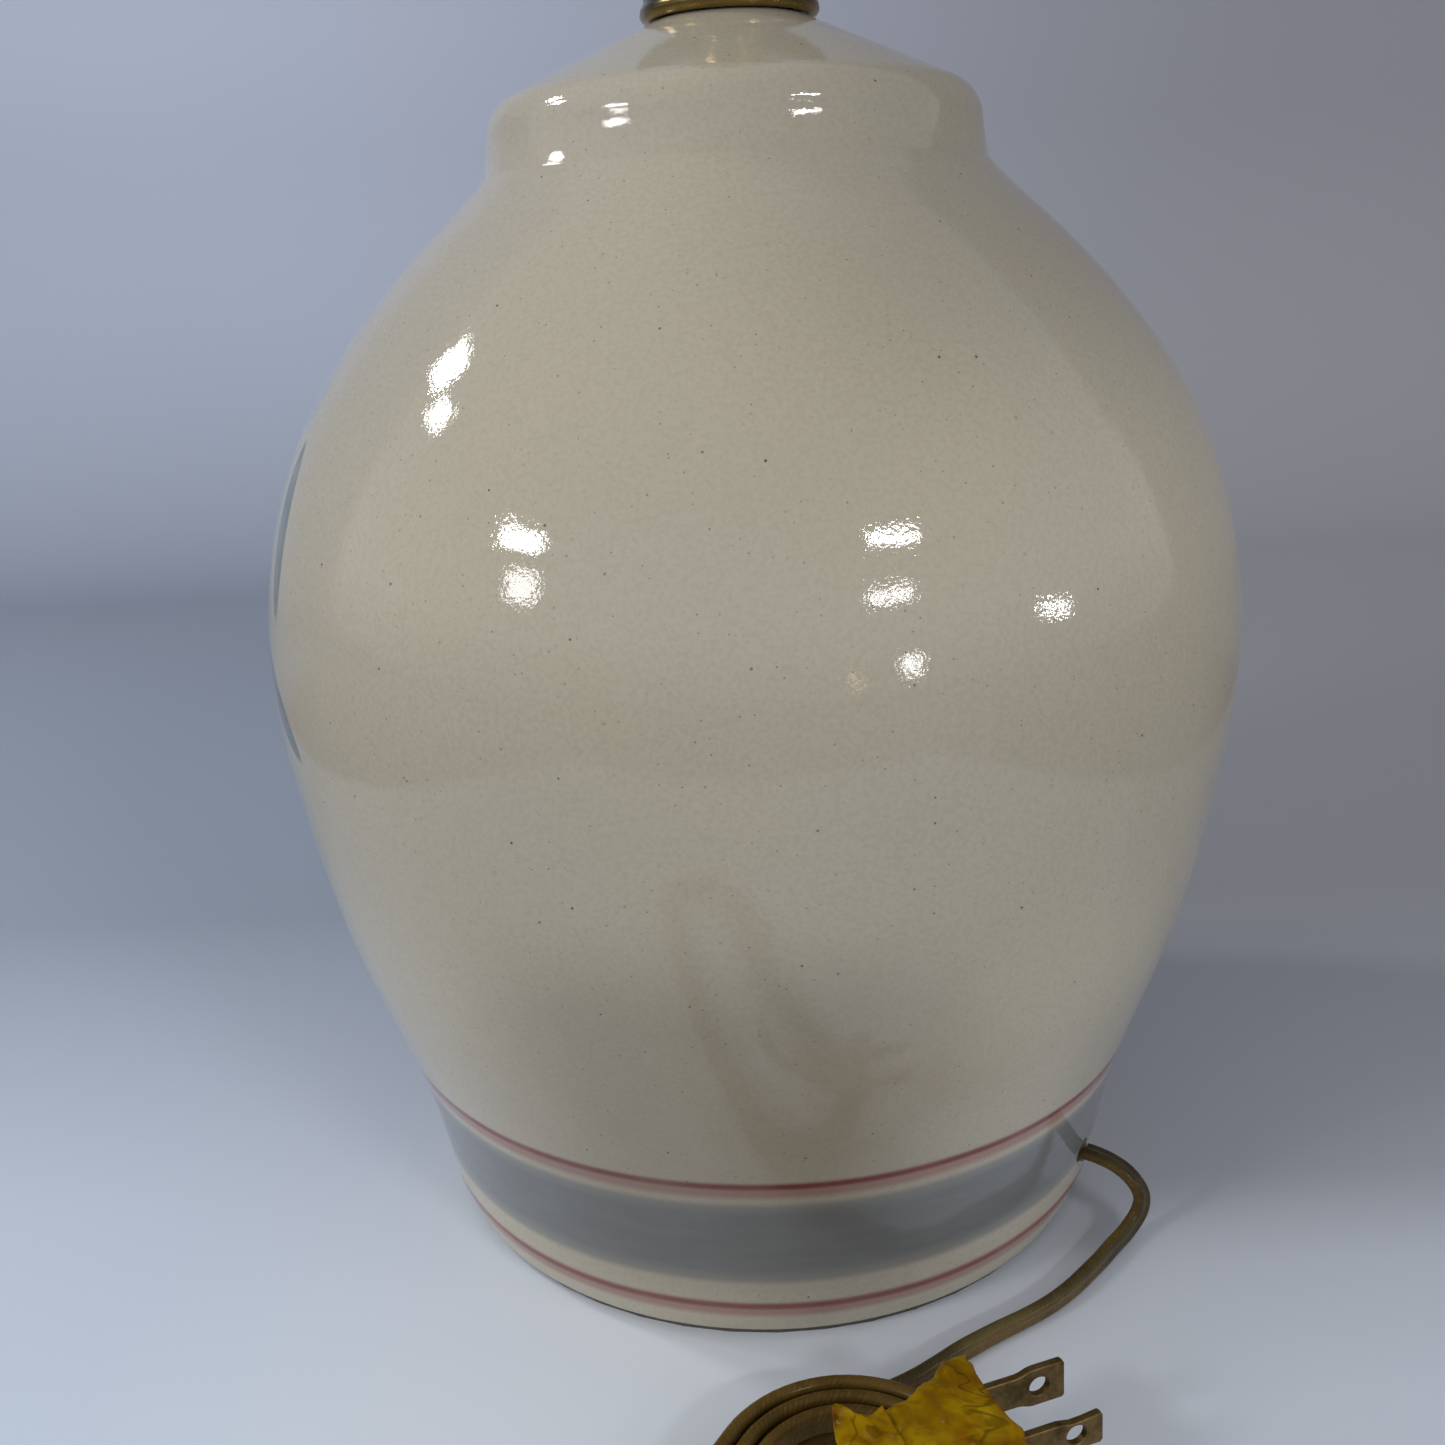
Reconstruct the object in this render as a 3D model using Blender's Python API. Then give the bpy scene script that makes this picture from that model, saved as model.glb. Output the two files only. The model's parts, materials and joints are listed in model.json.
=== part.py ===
"""Ceramic table lamp base: jar-shaped body, brass fittings, lamp socket with a turn knob, and its cord."""

import math

import bmesh
import bpy
from mathutils import Euler, Matrix, Vector

# Clearances, in metres
GAP = 0.0003
WIRE_GAP = 0.00045
OVERRUN = 0.004
FLOOR_CLEARANCE = 0.0001

# Felt under the foot
FELT_THICKNESS = 0.0012
FELT_MARGIN = 0.002
FELT_WIDTH = 0.012

# Ceramic body
BODY_HEIGHT = 0.2684
BELLY_RADIUS = 0.1103
FOOT_RADIUS = 0.0811
FOOT_WIDTH = 0.0150
FOOT_HEIGHT = 0.0050
FOOT_EDGE = 0.0020
WALL = 0.0055
COLLAR_RADIUS = 0.0530
COLLAR_CORNER = 0.0085
TOP_FLAT_RADIUS = 0.0137
SHOULDER_SLOPE = math.radians(24)
NECK_HOLE_RADIUS = 0.0060
CORD_HOLE_RADIUS = 0.0046
CORD_HOLE_HEIGHT = 0.0194
CORD_HOLE_AZIMUTH = math.radians(-31.5)
# Height and radius of the outer wall, as shares of the body's height and of the belly's radius
WALL_SHARES = (
    (0.030, 0.757),
    (0.098, 0.786),
    (0.165, 0.828),
    (0.265, 0.907),
    (0.402, 0.976),
    (0.505, 1.000),
    (0.606, 0.971),
    (0.708, 0.875),
    (0.776, 0.758),
    (0.844, 0.598),
    (0.869, 0.531),
    (0.886, 0.491),
)
# Heights of the rings on the inner wall, as shares of the body's height
INNER_WALL_SHARES = (0.05, 0.13, 0.22, 0.32, 0.42, 0.51, 0.60, 0.68, 0.74, 0.79, 0.83, 0.86)

# Threaded nipple and what clamps it
NIPPLE_RADIUS = 0.0050
NIPPLE_BORE_RADIUS = 0.0036
NIPPLE_BELOW_NUT = 0.0060
NIPPLE_IN_CAP = 0.0075
FITTING_BORE_RADIUS = 0.0053
WASHER_RADIUS = 0.0160
WASHER_THICKNESS = 0.0016
LOCK_WASHER_RADIUS = 0.0085
LOCK_WASHER_THICKNESS = 0.0018
LOCK_WASHER_SLOT = 0.0014
NUT_ACROSS_FLATS = 0.0159
NUT_HEIGHT = 0.0048
NUT_CHAMFER = 0.0006

# Brass cap on the shoulder
CAP_BEAD_CENTRE_RADIUS = 0.01735
CAP_BEAD_RADIUS = 0.0017
CAP_BAND_CENTRE_RADIUS = 0.0169
CAP_BAND_RADIUS = 0.00125
CAP_BAND_RISE = 0.0028
CAP_HEIGHT = 0.0061
CAP_CROWN_RADIUS = 0.0129
CAP_SHEET = 0.0010

# Brass neck ring
NECK_RING_RADIUS = 0.0127
NECK_RING_WAIST_RADIUS = 0.0088
NECK_RING_TOP_RADIUS = 0.0105
NECK_RING_HEIGHT = 0.0115
NECK_RING_BEAD = 0.0016

# Harp saddle
SADDLE_THICKNESS = 0.0016
SADDLE_WIDTH = 0.0130
SADDLE_ARM_WIDTH = 0.0095
SADDLE_FLAT_HALF = 0.0215
SADDLE_TIP_HALF = 0.0305
SADDLE_RISE = 0.0210
SADDLE_BEND = 0.0045
LOCK_NUT_HEIGHT = 0.0032
LOCK_NUT_ACROSS_FLATS = 0.0143

# Lamp socket
SOCKET_NECK_RADIUS = 0.0072
SOCKET_NECK_HEIGHT = 0.0080
SOCKET_CAP_RADIUS = 0.0170
SOCKET_CAP_DOME = 0.0090
SOCKET_CAP_SKIRT = 0.0080
SOCKET_SHEET = 0.0007
SHELL_OVERLAP = 0.0050
SHELL_HEIGHT = 0.0410
SHELL_BEAD = 0.0006
SLEEVE_WALL = 0.0008
SLEEVE_INSET = 0.0015
INSULATOR_HEIGHT = 0.0160
INSULATOR_FLAT_HALF = 0.0103
SCREW_SHELL_WALL = 0.0006
THREAD_PITCH = 0.0036
THREAD_DEPTH = 0.0007
THREAD_TURNS = 5
CONTACT_WIDTH = 0.0060
CONTACT_HALF_LENGTH = 0.0070
CONTACT_THICKNESS = 0.0006
CONTACT_RISE = 0.0028
TERMINAL_WIDTH = 0.0080
TERMINAL_THICKNESS = 0.0008
TERMINAL_SCREW_RISE = 0.0042
SCREW_HEAD_RADIUS = 0.0030
SCREW_HEAD_HEIGHT = 0.0014
SCREW_SHANK_RADIUS = 0.0014
SCREW_SHANK_LENGTH = 0.0045
SCREW_SLOT_WIDTH = 0.0008
SCREW_SLOT_DEPTH = 0.0007
SET_SCREW_RADIUS = 0.0014
SET_SCREW_LENGTH = 0.0048

# Rotary switch
ROTOR_RADIUS = 0.0040
ROTOR_LENGTH = 0.0078
ROTOR_CLEARANCE = 0.0004
SPINDLE_RADIUS = 0.0015
SPINDLE_HOLE_RADIUS = 0.0023
KNOB_LENGTH = 0.0130
KNOB_RADIUS = 0.0048
KNOB_WAIST_RADIUS = 0.0032
KNOB_WAIST_LENGTH = 0.0033
KNOB_FLARE_LENGTH = 0.0032
KNOB_NOSE_LENGTH = 0.0022
KNOB_NOSE_CHAMFER = 0.0014
KNOB_GRIP_START = 0.0043
KNOB_HALF_THICKNESS = 0.0030
KNOB_STAND_OFF = 0.0030
KNOB_SOCKET_DEPTH = 0.0060

# Flat two-wire cord
CORD_WIDTH = 0.0056
CORD_THICKNESS = 0.0028
CONDUCTOR_RADIUS = 0.0010
CONDUCTOR_SPACING = 0.0029
CORD_ABOVE_NIPPLE = 0.0019

# Where a conductor runs from the cord's end (0) to its terminal (1), as shares across and up
CONDUCTOR_SHARES = ((0, 0), (0, 0.12), (0.14, 0.38), (0.58, 0.60), (0.93, 0.70), (1, 0.84), (1, 1))

# Hank of spare cord: far fold's centre, direction to the near fold, and how its loops lie
HANK_CENTRE = Vector((0.0125, -0.1302, 0))
HANK_DIRECTION = math.radians(240)
HANK_RUN = 0.1120
HANK_FOLD_RADIUS = 0.0168
HANK_PITCH = 0.0037
FOLD_STEPS = 8
RUN_STEPS = 4
HANK_START_STEP = 6
HANK_LOOPS = 4.583
HANK_TURN_BACK = 1.667
HANK_CLIMB_HALF = 0.083

# Where the cord runs from the body's hole to the hank
FREE_ROUTE = (
    (0.0733, -0.0449, 0.0194),
    (0.0759, -0.0465, 0.0192),
    (0.0787, -0.0482, 0.0185),
    (0.0813, -0.0497, 0.0171),
    (0.0833, -0.0507, 0.0150),
    (0.0847, -0.0509, 0.0123),
    (0.0852, -0.0507, 0.0094),
    (0.0846, -0.0510, 0.0067),
    (0.0829, -0.0522, 0.0047),
    (0.0804, -0.0545, 0.0035),
    (0.0771, -0.0578, 0.0030),
    (0.0731, -0.0624, 0.0029),
    (0.0691, -0.0667, 0.0029),
    (0.0650, -0.0709, 0.0029),
    (0.0607, -0.0747, 0.0029),
    (0.0563, -0.0779, 0.0029),
    (0.0516, -0.0808, 0.0029),
    (0.0469, -0.0835, 0.0029),
    (0.0422, -0.0864, 0.0029),
    (0.0372, -0.0897, 0.0029),
    (0.0318, -0.0938, 0.0029),
    (0.0260, -0.0978, 0.0029),
)
# Where the cord runs inside the body, as shares of the way out to its hole and of the way up to the nipple
INNER_CORD_SHARES = (
    (1.0, 0.0),
    (0.931, 0.001),
    (0.849, 0.006),
    (0.753, 0.022),
    (0.657, 0.053),
    (0.575, 0.099),
    (0.507, 0.16),
    (0.452, 0.239),
    (0.404, 0.327),
    (0.353, 0.419),
    (0.296, 0.511),
    (0.233, 0.603),
    (0.167, 0.695),
    (0.104, 0.783),
    (0.049, 0.866),
    (0.014, 0.94),
    (0.0, 1.0),
)
# Where the cord runs from the hank, over its loops, to the plug
PLUG_ROUTE = (
    (-0.0084, -0.2226, 0.0097),
    (-0.0044, -0.2156, 0.0117),
    (-0.0008, -0.2088, 0.0138),
    (0.0022, -0.2020, 0.0151),
    (0.0042, -0.1950, 0.0154),
    (0.0050, -0.1880, 0.0155),
    (0.0044, -0.1810, 0.0156),
    (0.0026, -0.1740, 0.0158),
    (0.0002, -0.1670, 0.0161),
    (-0.0016, -0.1600, 0.0166),
    (-0.0018, -0.1530, 0.0173),
    (0.0000, -0.1466, 0.0180),
    (0.0036, -0.1417, 0.0187),
)

# Plug: centre of its face, how it lies, and its moulded body
PLUG_FACE = Vector((0.0381, -0.1267, 0.0199))
PLUG_YAW = math.radians(19.1)
PLUG_PITCH = math.radians(-1)
PLUG_ROLL = math.radians(-2)
PLUG_LENGTH = 0.0262
PLUG_WIDTH = 0.0240
PLUG_THICKNESS = 0.0115
PLUG_SHOULDER = 0.0030
PLUG_TAIL_WIDTH = 0.0080
PLUG_TAIL_THICKNESS = 0.0070
PLUG_EDGE = 0.0018
BLADE_SPACING = 0.0127
BLADE_LENGTH = 0.0175
BLADE_ROOT = 0.0060
BLADE_WIDTH = 0.00635
BLADE_WIDE_TIP = 0.00794
BLADE_NARROW_TIP = 0.0058
BLADE_TIP_LENGTH = 0.0075
BLADE_FLARE_LENGTH = 0.0020
BLADE_THICKNESS = 0.0015
BLADE_CORNER = 0.0006
BLADE_HOLE_RADIUS = 0.0020
BLADE_HOLE_FROM_TIP = 0.0053
SLOT_CLEARANCE = 0.00015

# Tape round the plug, with a loose flap on the hank
TAPE_THICKNESS = 0.0008
TAPE_SET_BACK = 0.0010
TAPE_LENGTH = 0.0220
TAPE_FLAP_WIDTH = 0.0100
TAPE_FLAP_REACH = 0.0150

# How finely round shapes are divided
BODY_SIDES = 48
FITTING_SIDES = 32
SMALL_SIDES = 16
ARC_STEPS = 5
CURVE_STEPS = 2
CREASE_ANGLE = math.radians(35)

# Colour, roughness and metallic value of each material
CERAMIC = ((0.50, 0.44, 0.35), 0.12, 0)
FELT = ((0.06, 0.045, 0.035), 0.95, 0)
ZINC = ((0.55, 0.55, 0.54), 0.38, 1)
BRASS = ((0.58, 0.42, 0.19), 0.28, 1)
DULL_BRASS = ((0.34, 0.27, 0.16), 0.45, 1)
PHENOLIC = ((0.03, 0.02, 0.015), 0.45, 0)
FIBRE = ((0.23, 0.16, 0.09), 0.85, 0)
CORD = ((0.20, 0.12, 0.045), 0.30, 0)
WIRE = ((0.26, 0.15, 0.05), 0.35, 0)
PLUG = ((0.17, 0.10, 0.04), 0.35, 0)
TAPE = ((0.55, 0.36, 0.03), 0.35, 0)
CUTTER_COLOUR = (0.8, 0.1, 0.1)

# Heights of the stack, from the floor up
BODY_BASE = FELT_THICKNESS + GAP
BODY_TOP = BODY_BASE + BODY_HEIGHT


def clear_scene():
    for item in list(bpy.data.objects):
        bpy.data.objects.remove(item, do_unlink=True)


def material(name, colour, roughness, metallic):
    made = bpy.data.materials.new(name)
    made.use_nodes = True
    shader = made.node_tree.nodes["Principled BSDF"]
    shader.inputs["Base Color"].default_value = (*colour, 1)
    shader.inputs["Roughness"].default_value = roughness
    shader.inputs["Metallic"].default_value = metallic
    return made


def place(name, shape, finish, parent=None):
    """Turns a bmesh into a named, smooth-shaded object with its own material."""
    bmesh.ops.recalc_face_normals(shape, faces=shape.faces)
    mesh = bpy.data.meshes.new(name)
    shape.to_mesh(mesh)
    shape.free()
    mesh.shade_smooth()
    mesh.set_sharp_from_angle(angle=CREASE_ANGLE)
    mesh.materials.append(material(name, *finish))
    item = bpy.data.objects.new(name, mesh)
    item.parent = parent
    bpy.context.scene.collection.objects.link(item)
    return item


def lathe_shape(outline, sides):
    """A closed outline of (radius, height) points turned about Z."""
    shape = bmesh.new()
    rings = []
    for radius, height in outline:
        if radius == 0:
            rings.append([shape.verts.new((0, 0, height))])
            continue
        angles = [2 * math.pi * step / sides for step in range(sides)]
        rings.append([shape.verts.new((radius * math.cos(a), radius * math.sin(a), height)) for a in angles])
    for lower, upper in zip(rings, rings[1:] + rings[:1]):
        for step in range(sides):
            after = step + 1
            corners = (
                lower[step % len(lower)],
                lower[after % len(lower)],
                upper[after % len(upper)],
                upper[step % len(upper)],
            )
            corners = list(dict.fromkeys(corners))
            if len(corners) > 2:
                shape.faces.new(corners)
    return shape


def prism_shape(outline, low, high):
    """A closed outline of (x, y) points raised from low to high along Z."""
    shape = bmesh.new()
    floor = [shape.verts.new((x, y, low)) for x, y in outline]
    roof = [shape.verts.new((x, y, high)) for x, y in outline]
    shape.faces.new(floor)
    shape.faces.new(roof)
    for step in range(len(outline)):
        after = (step + 1) % len(outline)
        shape.faces.new((floor[step], floor[after], roof[after], roof[step]))
    return shape


def arc(centre, radius, start, end, steps=ARC_STEPS):
    """Points on an arc; the angles are in degrees from the outline's first axis."""
    points = []
    for step in range(steps + 1):
        angle = math.radians(start + (end - start) * step / steps)
        points.append((centre[0] + radius * math.cos(angle), centre[1] + radius * math.sin(angle)))
    return points


def smooth_points(points, steps):
    """A smooth curve through all the points, with a number of steps from each to the next."""
    knots = [Vector(point) for point in points]
    knots = [2 * knots[0] - knots[1], *knots, 2 * knots[-1] - knots[-2]]
    curve = []
    for before, start, end, after in zip(knots, knots[1:], knots[2:], knots[3:]):
        for step in range(steps):
            t = step / steps
            curve.append(
                0.5
                * (
                    2 * start
                    + (end - before) * t
                    + (2 * before - 5 * start + 4 * end - after) * t**2
                    + (3 * start - before - 3 * end + after) * t**3
                )
            )
    curve.append(knots[-2])
    return curve


def cut(item, shape, name, operation="DIFFERENCE"):
    """Cuts a hidden shape out of an object, or joins it on."""
    cutter = place(name, shape, (CUTTER_COLOUR, 1, 0), item.parent)
    cutter.hide_render = True
    cutter.display_type = "WIRE"
    modifier = item.modifiers.new(name, "BOOLEAN")
    modifier.operation = operation
    modifier.object = cutter
    return cutter


def bar_shape(radius, start, end, sides=SMALL_SIDES):
    """A round bar between two points."""
    start = Vector(start)
    along = Vector(end) - start
    shape = lathe_shape([(0, 0), (radius, 0), (radius, along.length), (0, along.length)], sides)
    turn = along.to_track_quat("Z", "Y").to_matrix().to_4x4()
    shape.transform(Matrix.Translation(start) @ turn)
    return shape


def hex_outline(across_flats):
    corner = across_flats / 2 / math.cos(math.pi / 6)
    angles = [math.pi * step / 3 for step in range(6)]
    return [(corner * math.cos(angle), corner * math.sin(angle)) for angle in angles]


def shoulder_height(radius):
    """Height of the sloping shoulder's surface."""
    return BODY_TOP - (radius - TOP_FLAT_RADIUS) * math.tan(SHOULDER_SLOPE)


def outer_wall():
    """Points up the outer wall, from above the foot to the collar."""
    knots = [(BELLY_RADIUS * out, BODY_BASE + BODY_HEIGHT * up, 0) for up, out in WALL_SHARES]
    return [(point.x, point.y) for point in smooth_points(knots, CURVE_STEPS)]


def wall_radius(height):
    points = outer_wall()
    for (low_radius, low), (high_radius, high) in zip(points, points[1:]):
        if low <= height <= high:
            return low_radius + (high_radius - low_radius) * (height - low) / (high - low)
    return points[0][0] if height < points[0][1] else points[-1][0]


def body_outline():
    corner_angle = 90 - math.degrees(SHOULDER_SLOPE)
    corner_radius = COLLAR_RADIUS - COLLAR_CORNER
    corner_end = corner_radius + COLLAR_CORNER * math.cos(math.radians(corner_angle))
    corner_height = shoulder_height(corner_end) - COLLAR_CORNER * math.sin(math.radians(corner_angle))
    foot_edge = (FOOT_RADIUS - FOOT_EDGE, BODY_BASE + FOOT_EDGE)
    outer = arc(foot_edge, FOOT_EDGE, -90, 0, steps=3) + outer_wall()
    outer += arc((corner_radius, corner_height), COLLAR_CORNER, 0, corner_angle)
    outer += [(TOP_FLAT_RADIUS, BODY_TOP), (NECK_HOLE_RADIUS, BODY_TOP)]
    roof_drop = WALL / math.cos(SHOULDER_SLOPE)
    seat_radius = WASHER_RADIUS + GAP
    seat = shoulder_height(seat_radius) - roof_drop
    inner = [
        (NECK_HOLE_RADIUS, seat),
        (seat_radius, seat),
        (corner_radius, shoulder_height(corner_radius) - roof_drop),
        (COLLAR_RADIUS - WALL, corner_height),
    ]
    for share in reversed(INNER_WALL_SHARES):
        height = BODY_BASE + BODY_HEIGHT * share
        inner.append((wall_radius(height) - WALL, height))
    foot_inner = FOOT_RADIUS - FOOT_WIDTH
    inner += [(foot_inner, BODY_BASE + FOOT_HEIGHT), (foot_inner, BODY_BASE)]
    return outer + inner


def radial(radius, height, azimuth=CORD_HOLE_AZIMUTH):
    return (radius * math.cos(azimuth), radius * math.sin(azimuth), height)


def make_body():
    body = place("ceramic_body", lathe_shape(body_outline(), BODY_SIDES), CERAMIC)
    inside = radial(FOOT_RADIUS - FOOT_WIDTH - OVERRUN, CORD_HOLE_HEIGHT)
    outside = radial(BELLY_RADIUS, CORD_HOLE_HEIGHT)
    cut(body, bar_shape(CORD_HOLE_RADIUS, inside, outside), "cord_hole")


def make_felt():
    outer = FOOT_RADIUS - FELT_MARGIN
    inner = outer - FELT_WIDTH
    outline = [(outer, 0), (outer, FELT_THICKNESS), (inner, FELT_THICKNESS), (inner, 0)]
    place("felt_ring", lathe_shape(outline, BODY_SIDES), FELT)


def ring_outline(outer, inner, low, high, chamfer=0):
    points = [(outer, low + chamfer), (outer, high - chamfer)]
    if chamfer:
        points = [(outer - chamfer, low), *points, (outer - chamfer, high)]
    return points + [(inner, high), (inner, low)]


def make_nut(name, across_flats, low, height, finish):
    nut = place(name, prism_shape(hex_outline(across_flats), low, low + height), finish)
    crown = across_flats / 2 / math.cos(math.pi / 6)
    rounding = [
        (0, low - OVERRUN),
        (crown - NUT_CHAMFER, low - OVERRUN),
        (crown - NUT_CHAMFER, low),
        (crown, low + NUT_CHAMFER),
        (crown, low + height - NUT_CHAMFER),
        (crown - NUT_CHAMFER, low + height),
        (crown - NUT_CHAMFER, low + height + OVERRUN),
        (0, low + height + OVERRUN),
    ]
    cut(nut, lathe_shape(rounding, FITTING_SIDES), name + "_rounding", "INTERSECT")
    start = (0, 0, low - OVERRUN)
    end = (0, 0, low + height + OVERRUN)
    cut(nut, bar_shape(FITTING_BORE_RADIUS, start, end, FITTING_SIDES), name + "_bore")


def make_inner_clamp():
    """Washer, lock washer and nut under the top, and returns the nut's underside."""
    roof = shoulder_height(WASHER_RADIUS + GAP) - WALL / math.cos(SHOULDER_SLOPE)
    washer_top = roof - GAP
    washer_low = washer_top - WASHER_THICKNESS
    flat = ring_outline(WASHER_RADIUS, FITTING_BORE_RADIUS, washer_low, washer_top)
    place("inner_washer", lathe_shape(flat, FITTING_SIDES), ZINC)
    lock_top = washer_low - GAP
    lock_low = lock_top - LOCK_WASHER_THICKNESS
    ring = ring_outline(LOCK_WASHER_RADIUS, FITTING_BORE_RADIUS, lock_low, lock_top)
    lock = place("lock_washer", lathe_shape(ring, FITTING_SIDES), ZINC)
    half = LOCK_WASHER_SLOT / 2
    far = LOCK_WASHER_RADIUS + OVERRUN
    slot = [(0, -half), (far, -half), (far, half), (0, half)]
    cut(lock, prism_shape(slot, lock_low - OVERRUN, lock_top + OVERRUN), "lock_washer_slot")
    nut_top = lock_low - GAP
    make_nut("hex_nut", NUT_ACROSS_FLATS, nut_top - NUT_HEIGHT, NUT_HEIGHT, ZINC)
    return nut_top - NUT_HEIGHT


def make_brass_cap():
    """The two-bead cap that seats on the shoulder, and returns its top."""
    stand_off = (CAP_BEAD_RADIUS + GAP) / math.cos(SHOULDER_SLOPE)
    bead_height = shoulder_height(CAP_BEAD_CENTRE_RADIUS) + stand_off
    band_height = bead_height + CAP_BAND_RISE
    top = bead_height + CAP_HEIGHT
    inner = CAP_BEAD_CENTRE_RADIUS - CAP_BEAD_RADIUS
    outline = arc((CAP_BEAD_CENTRE_RADIUS, bead_height), CAP_BEAD_RADIUS, -120, 48, steps=7)
    outline += arc((CAP_BAND_CENTRE_RADIUS, band_height), CAP_BAND_RADIUS, -28, 75)
    outline += [
        ((CAP_BAND_CENTRE_RADIUS + CAP_CROWN_RADIUS) / 2, (band_height + CAP_BAND_RADIUS + top) / 2),
        (CAP_CROWN_RADIUS, top),
        (FITTING_BORE_RADIUS, top),
        (FITTING_BORE_RADIUS, top - CAP_SHEET),
        (CAP_CROWN_RADIUS - CAP_SHEET / 2, top - CAP_SHEET),
        (inner - CAP_SHEET / 2, band_height),
        (inner - CAP_SHEET / 2, bead_height),
    ]
    place("brass_cap", lathe_shape(outline, FITTING_SIDES), BRASS)
    return top


def make_neck_ring(low):
    top = low + NECK_RING_HEIGHT
    outline = [(FITTING_BORE_RADIUS, low), (NECK_RING_RADIUS - NECK_RING_BEAD, low)]
    outline += arc((NECK_RING_RADIUS - NECK_RING_BEAD, low + NECK_RING_BEAD), NECK_RING_BEAD, -60, 60)
    cove = (NECK_RING_HEIGHT - 4 * NECK_RING_BEAD) / 2
    middle = low + 2 * NECK_RING_BEAD + cove
    outline += [
        (NECK_RING_WAIST_RADIUS + cove / 2, middle - cove / 2),
        (NECK_RING_WAIST_RADIUS, middle),
        (NECK_RING_WAIST_RADIUS, middle + cove / 2),
    ]
    outline += arc((NECK_RING_TOP_RADIUS - NECK_RING_BEAD, top - NECK_RING_BEAD), NECK_RING_BEAD, -60, 90)
    outline += [(FITTING_BORE_RADIUS, top)]
    place("neck_ring", lathe_shape(outline, FITTING_SIDES), BRASS)
    return top


def bent_strip(outline, width):
    """An outline of (x, z) points given a width along Y."""
    shape = prism_shape(outline, -width / 2, width / 2)
    shape.transform(Matrix.Rotation(math.pi / 2, 4, "X"))
    return shape


def saddle_side(sign):
    """Centre line of one arm: out along the flat, round the bend and up to the tip."""
    lean = math.atan2(SADDLE_TIP_HALF - SADDLE_FLAT_HALF - SADDLE_BEND, SADDLE_RISE - SADDLE_BEND)
    centre = (SADDLE_FLAT_HALF, SADDLE_BEND)
    turn = arc(centre, SADDLE_BEND, -90, -math.degrees(lean))
    tip = (SADDLE_TIP_HALF, SADDLE_RISE)
    return [(sign * x, z) for x, z in turn + [tip]]


def thicken(line, thickness):
    """A closed outline either side of an open line."""
    left = []
    right = []
    for step, point in enumerate(line):
        before = Vector(line[max(step - 1, 0)])
        after = Vector(line[min(step + 1, len(line) - 1)])
        along = (after - before).normalized()
        side = Vector((-along.y, along.x)) * thickness / 2
        left.append(tuple(Vector(point) + side))
        right.append(tuple(Vector(point) - side))
    return left + right[::-1]


def make_saddle(low):
    line = saddle_side(-1)[::-1] + saddle_side(1)
    shape = bent_strip(thicken(line, SADDLE_THICKNESS), SADDLE_WIDTH)
    shape.transform(Matrix.Translation((0, 0, low + SADDLE_THICKNESS / 2)))
    saddle = place("harp_saddle", shape, DULL_BRASS)
    bore = bar_shape(FITTING_BORE_RADIUS, (0, 0, low - OVERRUN), (0, 0, low + OVERRUN), FITTING_SIDES)
    cut(saddle, bore, "saddle_bore")
    for sign, side in ((-1, "front"), (1, "back")):
        edge = sign * SADDLE_ARM_WIDTH / 2
        far = sign * (SADDLE_WIDTH + OVERRUN)
        for arm in (-1, 1):
            inner = arm * SADDLE_FLAT_HALF
            outer = arm * (SADDLE_TIP_HALF + OVERRUN)
            notch = [(inner, edge), (outer, edge), (outer, far), (inner, far)]
            name = "saddle_notch_" + side + ("_left" if arm < 0 else "_right")
            cut(saddle, prism_shape(notch, low - OVERRUN, low + SADDLE_RISE + OVERRUN), name)
    return low + SADDLE_THICKNESS


def make_socket_cap(low):
    """The socket's lower cup, and returns the height of its rim."""
    neck_top = low + SOCKET_NECK_HEIGHT
    dome_top = neck_top + SOCKET_CAP_DOME
    rim = dome_top + SOCKET_CAP_SKIRT
    dome = (SOCKET_CAP_RADIUS - SOCKET_CAP_DOME, dome_top)
    inner_dome = SOCKET_CAP_DOME - SOCKET_SHEET
    outline = [(FITTING_BORE_RADIUS, low), (SOCKET_NECK_RADIUS, low), (SOCKET_NECK_RADIUS, neck_top)]
    outline += arc(dome, SOCKET_CAP_DOME, -80, 0)
    outline += [(SOCKET_CAP_RADIUS, rim), (SOCKET_CAP_RADIUS - SOCKET_SHEET, rim)]
    outline += arc(dome, inner_dome, 0, -80)
    outline += [(FITTING_BORE_RADIUS, neck_top + SOCKET_SHEET)]
    cap = place("socket_cap", lathe_shape(outline, FITTING_SIDES), BRASS)
    screw_height = low + SOCKET_NECK_HEIGHT / 2
    inside = (-FITTING_BORE_RADIUS + OVERRUN, 0, screw_height)
    outside = (-SOCKET_CAP_RADIUS, 0, screw_height)
    cut(cap, bar_shape(SET_SCREW_RADIUS + SLOT_CLEARANCE, inside, outside), "set_screw_hole")
    make_set_screw(screw_height)
    return rim


def make_set_screw(height):
    tip = NIPPLE_RADIUS + GAP
    head = tip + SET_SCREW_LENGTH
    screw = place("cap_set_screw", bar_shape(SET_SCREW_RADIUS, (-tip, 0, height), (-head, 0, height)), ZINC)
    half = SCREW_SLOT_WIDTH / 2
    slot = [
        (-head - OVERRUN, -half),
        (SCREW_SLOT_DEPTH - head, -half),
        (SCREW_SLOT_DEPTH - head, half),
        (-head - OVERRUN, half),
    ]
    cut(screw, prism_shape(slot, height - OVERRUN, height + OVERRUN), "set_screw_slot")


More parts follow.
